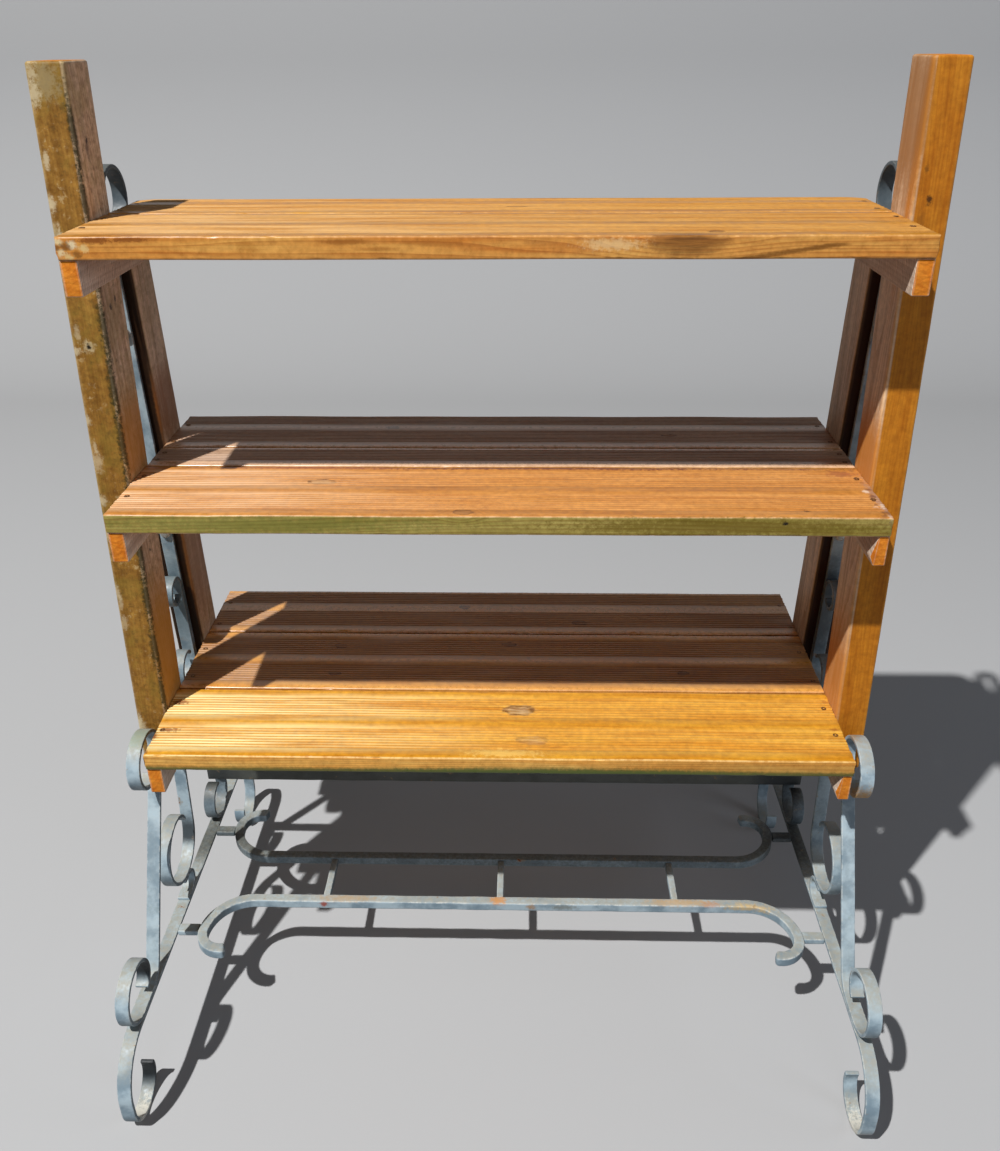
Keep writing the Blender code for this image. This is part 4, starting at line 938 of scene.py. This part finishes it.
for seed, (node, (face, edge, rubbed, worn, groove_dirt_and_shade, fade, painted_shade)) in enumerate(deck_looks.items()):
    low, high = box(node)
    pith = np.array([700 * seed, -(low[1] + high[1]) / 2 / MM + 30 * sin(2 * seed), 55 - high[2] / MM])
    finish = softwood(f"oiled_decking_{node}", face, edge, DECK_CUT, rubbed, DECK_GRAIN, ring=4.5, pith=pith,
                      knots=board_knots.get(node, ()), marks=board_marks.get(node, ()), worn=worn, groove_dirt_and_shade=groove_dirt_and_shade,
                      fade=fade, painted_shade=painted_shade, mottle=0.36, edge_grain=0.3, gloss=0.26 if painted_shade else 0.3,
                      specular=0.9 if painted_shade else 0.25)
    place(f"{node}_decking", deck_board(node, seed), finish, "decking", node, crease=50)


# Deck screws: countersunk cross-head wood screws, two through each end of each board into the cleat below,
# driven flush. Their zinc has rusted and stained the wood around some of them.
DECK_SCREW_RADIUS = 3.5 * MM
DECK_SCREW_SHANK = 2 * MM
DECK_SCREW_DOME = 0.5 * MM
DECK_SCREW_RECESS = 0.9 * MM
SCREW_SPOTS = {"front": (0.36, 0.78), "middle": (0.19, 0.68), "strip": (0.28, 0.72), "rear": (0.17, 0.69)}
countersunk_outline = [
    (-20 * MM, 0.5 * MM), (-16 * MM, DECK_SCREW_SHANK), (-3 * MM, DECK_SCREW_SHANK), (-0.3 * MM, DECK_SCREW_RADIUS),
    *((DECK_SCREW_DOME * sin(t), DECK_SCREW_RADIUS * cos(t)) for t in np.linspace(0.1, 1.45, 10))]
driving = np.random.default_rng(11)
rusted_zinc = dulled_zinc("rusted_zinc_plating", "604A30", "96784C", 0.42)
for node in deck_looks:
    low, high = box(node)
    shelf, row, _ = node.split("_")
    for end in SIDES:
        cleat = sum(box(f"{end}_{shelf}_cleat")) / 2
        for number, share in enumerate(SCREW_SPOTS[row]):
            spot = np.array([cleat[0], low[1] + share * (high[1] - low[1]), high[2]])
            spot[:2] += driving.uniform(-2, 2, 2) * MM
            name = f"{node}_{end}_deck_screw_{number}"
            mesh = screw(name, spot, (0, 0, 1), countersunk_outline, recess=DECK_SCREW_RECESS)
            place(name, mesh, rusted_zinc, "screw_steel")


# Studio: a pale paper sweep under and behind the stand, one lamp high at the front left with two large, weak,
# cool fills, and a pale even sky; the camera stands where the photograph was taken from.
PAPER_HALF_WIDTH = 6
PAPER_BACK = 2.6
PAPER_FRONT = -6
PAPER_CURVE = 1.2
PAPER_TOP = 5
SKY_LIGHT = 0.045
SKY_SEEN = 0.5
LAMP_TARGET = np.array([0, 0, 0.6])
EYE = np.array([32.4, -1123.1, 1280.3]) * MM
PITCH = radians(26.804)
YAW = radians(1.498)
ROLL = radians(-0.418)
FOCAL = 1000
FRAME_WIDTH, FRAME_HEIGHT = 1000, 1151
CENTRE_X, CENTRE_Y = 500, 540
SENSOR = 36

# Pale matt paper: it gives an even grey ground, and throws back less light than it shows.
paper, add = new_material("pale_studio_paper")
rays = add("LightPath")
seen = add("Larger", rays["Is Camera Ray"], add("Larger", rays["Is Glossy Ray"], rays["Is Transmission Ray"]))
add("OutputMaterial", Surface=add("Surface", add("Blend", seen, "747474", "B6B6B6"), 0.9))
turn = np.linspace(0, pi / 2, 24)
curve = np.c_[PAPER_BACK + PAPER_CURVE * np.sin(turn), PAPER_CURVE * (1 - np.cos(turn))]
sweep = np.vstack([(PAPER_FRONT, 0), curve, (PAPER_BACK + PAPER_CURVE, PAPER_TOP)])
sheet_points = np.vstack([np.c_[np.full(len(sweep), x), sweep] for x in (-PAPER_HALF_WIDTH, PAPER_HALF_WIDTH)])
near = np.arange(len(sweep) - 1)
far = near + len(sweep)
sheet = bpy.data.meshes.new("paper_sweep")
sheet.from_pydata(sheet_points, [], np.c_[near, far, far + 1, near + 1])
sheet.shade_smooth()
sheet.materials.append(paper)
floor = show("paper_sweep", sheet)

world = bpy.data.worlds.new("studio_sky")
world.use_nodes = True
sky = world.node_tree.nodes["Background"]
sky.inputs["Color"].default_value = linear("ECEEF2")
in_view = add_node(world.node_tree, "LightPath")["Is Camera Ray"]
strength = add_node(world.node_tree, "Range", in_view, 0, 1, SKY_LIGHT, SKY_SEEN)
world.node_tree.links.new(strength, sky.inputs["Strength"])
bpy.context.scene.world = world

lamps = {
    "soft_key": ((-0.43, -0.47, 1), 7.8, 0.18, 1090, "FFFFFF"),
    "side_fill": ((1, -0.3, 0.25), 6, 3, 80, "E4EEFF"),
    "front_fill": ((0.1, -1, 0.2), 6, 3, 36, "E4EEFF"),
}
for name, (direction, distance, size, power, tint) in lamps.items():
    lamp = bpy.data.lights.new(name, "AREA")
    lamp.shape = "DISK"
    lamp.size = size
    lamp.energy = power
    lamp.color = linear(tint)[:3]
    lamp_object = show(name, lamp)
    lamp_object.location = LAMP_TARGET + distance * np.array(direction)
    lamp_object.rotation_euler = Vector(direction).to_track_quat("Z", "Y").to_euler()

camera = bpy.data.cameras.new("photograph_view")
camera.sensor_width = SENSOR
camera.lens = SENSOR * FOCAL / FRAME_HEIGHT
camera.shift_x = (FRAME_WIDTH / 2 - CENTRE_X) / FRAME_HEIGHT
camera.shift_y = (CENTRE_Y - FRAME_HEIGHT / 2) / FRAME_HEIGHT
viewer = show("photograph_view", camera)
viewer.location = EYE
aim = Matrix.Rotation(YAW, 3, "Z") @ Matrix.Rotation(pi / 2 - PITCH, 3, "X") @ Matrix.Rotation(ROLL, 3, "Z")
viewer.rotation_euler = aim.to_euler()
bpy.context.scene.camera = viewer
bpy.context.scene.view_settings.view_transform = "Standard"
